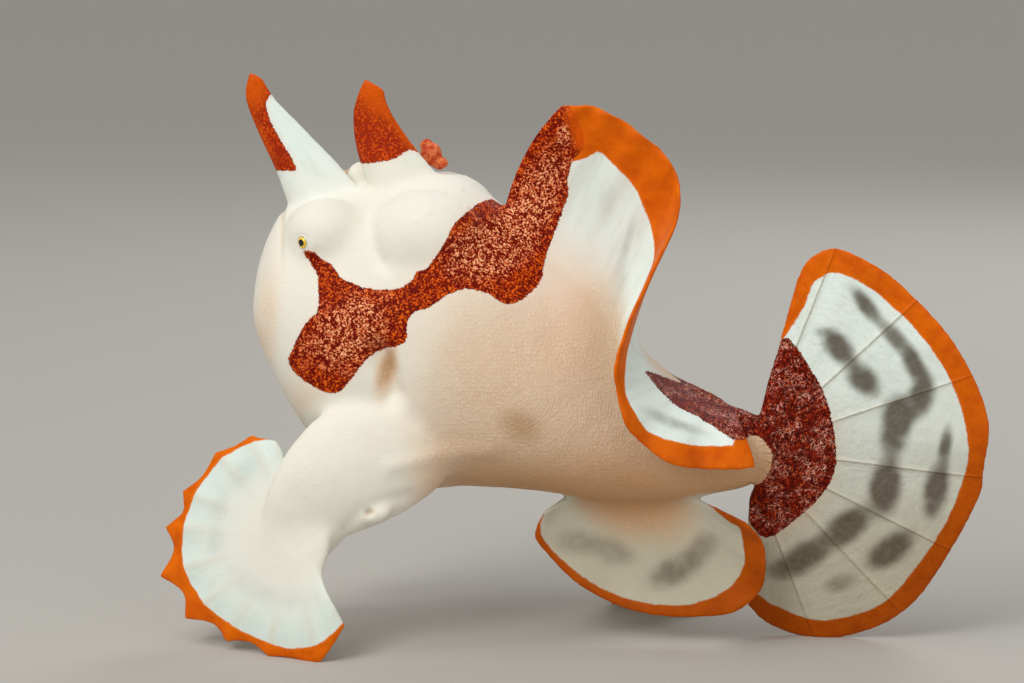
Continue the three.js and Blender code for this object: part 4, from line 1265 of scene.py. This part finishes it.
def skin_finish():
    finish = Finish("frogfish_skin", Subsurface_Weight=0.15, Subsurface_Scale=0.0009, Specular_IOR_Level=0.1,
                    Subsurface_Radius=(1.0, 0.55, 0.35))
    ease, noise, field, layered = finish.ease, finish.noise, finish.field, finish.layered
    place = finish.position()
    coarse = noise(place, 0.12, 2.0, 0.6) - 0.5
    middle = noise(place, 0.55, 3.0, 0.6) - 0.5
    fine = noise(place, 2.2, 3.0, 0.6) - 0.5
    phase, spacing, reach, lines, veil = map(field, ("phase", "spacing", "reach", "lines", "veil"))
    tone, low_tone_and_shade, rust, fire = map(field, ("tone", "low_tone_and_shade", "rust", "fire"))

    # Body: white head, beige trunk, darker belly partly from painted shade, tiny pits between the spinules
    # darkened partly with painted shade
    bent = finish.vectors("ADD", place, finish.vector(middle * 1.2, coarse * 3.0, middle * -0.8))
    grain = finish.cells(finish.vectors("MULTIPLY", bent, SPINULE_ROWS), SPINULE_SCALE, 0.6)
    spinule = ease(grain, 0.62, 0.05)
    warm = field("warm") + coarse * 0.25
    body = layered(
        "white",
        (ease(warm, 0.0, 0.55), "cream"),
        (ease(warm, 0.5, 1.0), "beige"),
        # darker between the spinules: painted shade in the hollows, partly the skin's own darker dots
        ((1.0 - spinule) * 0.46 * ease(warm, 0.0, 0.8), "pit tone and shade"),
        # the tan spot, with painted shade in the dent under the cheek lobe and the gill opening
        (field("stain_and_shade") * 0.55, "tan"),
        # painted shade along the mouth's crease
        (field("mouth") * 0.28, "mouth crease shade"),
    )

    # Fins: bluish white with faint painted shade along the rays' folds, ray lines, broad beige veils and grey
    # blotches
    fold_shade_streaks = noise(finish.vector(phase * 3.4, reach * 0.16), 1.0, 3.0, 0.6)
    to_ray = finish.math("ABSOLUTE", finish.math("FRACT", phase + 0.5) - 0.5) * spacing
    beads = ease(noise(place, 2.6, 2.0), 0.2, 0.5)
    paired = ease(veil, 0.4, 0.7)
    blotch_and_fold_shade = field("blotch_and_fold_shade") * (middle * 0.9 + 1.0)
    grey = layered("grey", (ease(fine, -0.2, 0.25), "light grey"), (paired, "bluish grey"))
    fin = layered(
        "fin",
        (ease(fold_shade_streaks, 0.42, 0.75) * 0.35, "fin fold shade"),
        (ease(to_ray, 0.15, 0.03) * lines * beads * 0.5, "ray"),
        # painted shade low on the tail and anal fin, partly their own darker tone
        (low_tone_and_shade * 0.75, "low_tone_and_shade"),
        (paired * 0.5, "paired fin"),
        (ease(to_ray, 0.95, 0.15) * ease(reach, 3.0, 6.0) * veil * 0.32, "veil"),
        # grey blotches, and on the dorsal fin painted shade in its folds
        (ease(blotch_and_fold_shade, 0.0, 0.95) * 0.9, grey),
    )

    # Orange margin of the fins, darker low on the tail and anal fin, partly painted shade
    rim = field("rim") + (fine * 0.12 + middle * 0.4)
    is_orange = ease(rim, 0.12, -0.1) * ease(field("fin"), 0.3, 0.7)
    orange = layered(
        "orange",
        (ease(middle, -0.2, 0.25), "deep orange"),
        (ease(fine, 0.02, 0.3) * 0.3, "orange fleck"),
        (ease(rim, -0.5, 0.0) * 0.35, "orange edge"),
        (low_tone_and_shade * 0.6, "dark orange"),
    )

    # Red marks: fine grains on dark red, pink in places, orange on the neck and the free spines
    specks = noise(place, 4.0, 2.5, 0.6, 0.5)
    red = field("red") + ((specks - 0.5) * -0.55 + middle * 0.3)
    is_red = ease(red, 0.04, -0.04)
    pink = field("pink") + middle * 1.2
    voids = ease(noise(place, 1.15, 2.0, 0.6), 0.52, 0.66) * 0.15
    level = specks - voids - rust * 0.085
    grains = ease(level, 0.42, 0.5)
    # the brightest grains: painted highlights on the grains' tips
    grain_tip_highlight = ease(level, 0.5, 0.62)
    # thin curled glints on the tail's patch: painted highlights
    curls = finish.math("ABSOLUTE", noise(place, 1.5, 1.0, 0.5, 1.6) - 0.5)
    glints = ease(curls, 0.05, 0.018) * ease(middle, -0.06, 0.08) * rust
    ground = layered("dark red", (rust, layered("maroon", (ease(fine, -0.1, 0.15), "light maroon"))))
    grain_color = layered(
        layered("ember", (grain_tip_highlight, "bright ember")),
        (ease(pink, 0.15, 0.9), layered("blush", (grain_tip_highlight, "pink"))),
        (rust * 0.9, layered("rust", (grain_tip_highlight, "bright rust"))),
    )
    red_color = layered(
        ground,
        (grains, grain_color),
        (glints * 0.95, "glint"),
        (field("spine") * 0.45, "spine"),
        (fire * 0.92, "fire"),
        (ease(red, -0.2, -0.02) * (1.0 - fire) * 0.45, "red edge"),
    )

    paint = layered(
        body,
        (tone, fin),
        (ease(red, 0.7, 0.1) * 0.3 * (1.0 - rust), "halo"),
        (is_orange, orange),
        (is_red, red_color),
    )
    finish.set("Base Color", paint)
    finish.set("Roughness", 0.58 - tone * 0.12)

    # Relief: spinules, red grains, glints, rays and the fins' crinkles
    off_red = 1.0 - is_red
    height = spinule * (ease(warm, 0.1, 0.7) * 0.75 + 0.25) * (1.0 - tone * 0.8) * off_red
    height = height + grains * is_red * (1.3 - fire) + glints * is_red
    height = height + ease(to_ray, 0.25, 0.0) * lines * 1.6
    crinkles = noise(finish.vector(phase * 5.0, reach * 0.9), 1.0, 3.0, 0.6)
    height = height + crinkles * tone * off_red * (lines * 2.4 + 1.0)
    finish.bump(height, 0.07, 0.9)
    return finish.material


def eye_finish():
    finish = Finish("frogfish_eye", Roughness=0.2, Coat_Weight=0.5, Coat_Roughness=0.03)
    flecks = finish.noise(finish.position(), 5.0, 3.0, 0.6)
    edge = finish.field("ring") + (flecks - 0.5) * 0.12
    finish.set("Base Color", finish.layered(
        "pupil",
        (finish.ease(edge, PUPIL_RADIUS - 0.02, PUPIL_RADIUS + 0.03),
         finish.layered("gold", (finish.ease(flecks, 0.36, 0.6), "bright gold"))),
        (finish.ease(edge, IRIS_RADIUS - 0.05, IRIS_RADIUS), "eye rim"),
    ))
    return finish.material


def lure_finish():
    finish = Finish("frogfish_lure", Subsurface_Weight=0.2, Subsurface_Scale=0.0006, Roughness=0.5,
                    Specular_IOR_Level=0.15)
    place = finish.position()
    specks = finish.cells(place, 3.2, 0.9)
    finish.set("Base Color", finish.layered(
        "bait",
        (finish.ease(finish.noise(place, 1.6, 3.0, 0.6), 0.36, 0.62), "dark bait"),
        (finish.ease(specks, 0.34, 0.12) * 0.3, "bait speck"),
        (finish.field("pale") * 0.75, "rod"),
    ))
    finish.bump(finish.ease(specks, 0.5, 0.1), 0.05)
    return finish.material


# Eyes and lure
def facing_out(obj):
    bm = bmesh.new()
    bm.from_mesh(obj.data)
    bmesh.ops.recalc_face_normals(bm, faces=bm.faces)
    bm.to_mesh(obj.data)
    bm.free()
    return obj


def make_eye(name, centre, gaze):
    """An eyeball with a raised cornea, its rings turned round the gaze."""
    angle = np.linspace(0, math.pi, EYE_RINGS + 1)[1:-1]
    radius = EYE_RADIUS + CORNEA * bell(angle, 0.5)
    across = unit(np.cross(gaze, [0, 0, 1]))
    wide = (radius * np.sin(angle))[:, None]
    middle = centre + (radius * np.cos(angle))[:, None] * gaze
    rings = rings_round(middle, wide * across, wide * np.cross(across, gaze), EYE_SIDES)
    points, faces = ring_piece(rings, centre + gaze * (EYE_RADIUS + CORNEA), centre - gaze * EYE_RADIUS)
    off = points - centre
    from_axis = np.linalg.norm(off - (off @ gaze)[:, None] * gaze, axis=1)
    ring = np.where(off @ gaze < 0, EYE_RADIUS, from_axis)
    return facing_out(finished(name, mesh_of(name, to_frame(points), faces), ring=ring))


def make_rod():
    """The lure's rod: a thin, slightly knotted stalk."""
    at = smooth_rows(ROD)
    t = np.linspace(0, 1, ROD_RINGS)
    middle = leaned(at(t))
    along = unit(leaned(at(np.minimum(1, t + 0.01))) - leaned(at(np.maximum(0, t - 0.01))))
    side = unit(np.cross(along, [0.1, 1, 0.2]))
    radius = (ROD_RADIUS * (1 - 0.35 * t) * (1 + 0.1 * np.sin(t * 41)))[:, None]
    rings = rings_round(middle, radius * side, radius * np.cross(along, side), ROD_SIDES)
    points, faces = ring_piece(rings, middle[0], middle[-1])
    mesh = mesh_of("lure_rod_skin", to_frame(points), faces)
    return facing_out(finished("lure_rod_skin", mesh, pale=np.ones(len(points))))


def make_lure():
    """The bait: a small fish-like body with a tail and a back fin, softly joined."""
    mesh = remeshed([ball_piece(part["at"], part["half"]) for part in LURE_PARTS], LURE_VOXEL)
    surface = Surface(mesh)
    surface.relax(LURE_ROUNDS, HOLLOW, CREST, every=4)
    points = surface.points + surface.normals() * (0.03 * waves(surface.points, 0.9, 31))[:, None]
    return finished("lure_bait", mesh, points)


# Studio
def placed(name, data, aim, at=(0, 0, 0)):
    lamp = linked(name, data)
    lamp.location = at
    lamp.rotation_euler = (Vector(aim) - Vector(at)).to_track_quat("-Z", "Y").to_euler()


def make_studio():
    corners = [(x * FLOOR_HALF, y * FLOOR_HALF, 0) for x, y in ((-1, -1), (1, -1), (1, 1), (-1, 1))]
    floor = linked("floor", mesh_of("floor", corners, [(0, 1, 2, 3)]))
    finish = Finish("studio_floor", Roughness=0.9, Specular_IOR_Level=0.1)
    finish.set("Base Color", color("floor"))
    floor.data.materials.append(finish.material)
    for name, lamp in LAMPS.items():
        data = bpy.data.lights.new(name, "AREA")
        data.shape = "DISK"
        data.size = lamp["size"]
        data.energy = lamp["watts"]
        data.color = lamp["tint"]
        placed(name, data, LAMP_AIM, lamp["at"])
    sun = bpy.data.lights.new("sky", "SUN")
    sun.energy = SKY["strength"]
    sun.angle = SKY["spread"]
    placed("sky", sun, SKY["aim"])
    world = bpy.data.worlds.new("studio")
    bpy.context.scene.world = world
    world.use_nodes = True
    background = world.node_tree.nodes["Background"]
    background.inputs["Color"].default_value = ROOM["color"]
    background.inputs["Strength"].default_value = ROOM["strength"]
    bpy.context.scene.view_settings.view_transform = "Standard"


def make_camera():
    data = bpy.data.cameras.new("camera")
    data.lens = LENS_MM
    data.sensor_width = SENSOR_MM
    data.clip_start = 0.01
    camera = linked("camera", data)
    right, up, forward = view_axes()
    turn = Matrix([right, up, -forward]).transposed().to_4x4()
    camera.matrix_world = Matrix.Translation(Vector(to_frame(VIEW_FROM))) @ turn
    bpy.context.scene.camera = camera


make_camera()
make_studio()

skin = make_skin()
skin.data.materials.clear()
skin.data.materials.append(skin_finish())
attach(skin, "root")
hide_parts("head", "lower_jaw", "trunk", "tail_stalk", "spine_second", "spine_third", "dorsal_fin",
            "anal_fin", "tail_fin", "arm_left", "arm_right", "pectoral_fan_left", "pectoral_fan_right",
            "pelvic_fin_left", "pelvic_fin_right")

eye_material = eye_finish()
for node, (eye_centre, eye_gaze) in eye_places().items():
    eyeball = make_eye(node + "_ball", eye_centre, eye_gaze)
    eyeball.data.materials.append(eye_material)
    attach(eyeball, "root")
    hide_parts(node)

lure_material = lure_finish()
for piece, node in ((make_rod(), "lure_rod"), (make_lure(), "lure")):
    piece.data.materials.append(lure_material)
    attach(piece, "root")
    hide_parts(node)

bpy.context.view_layer.update()
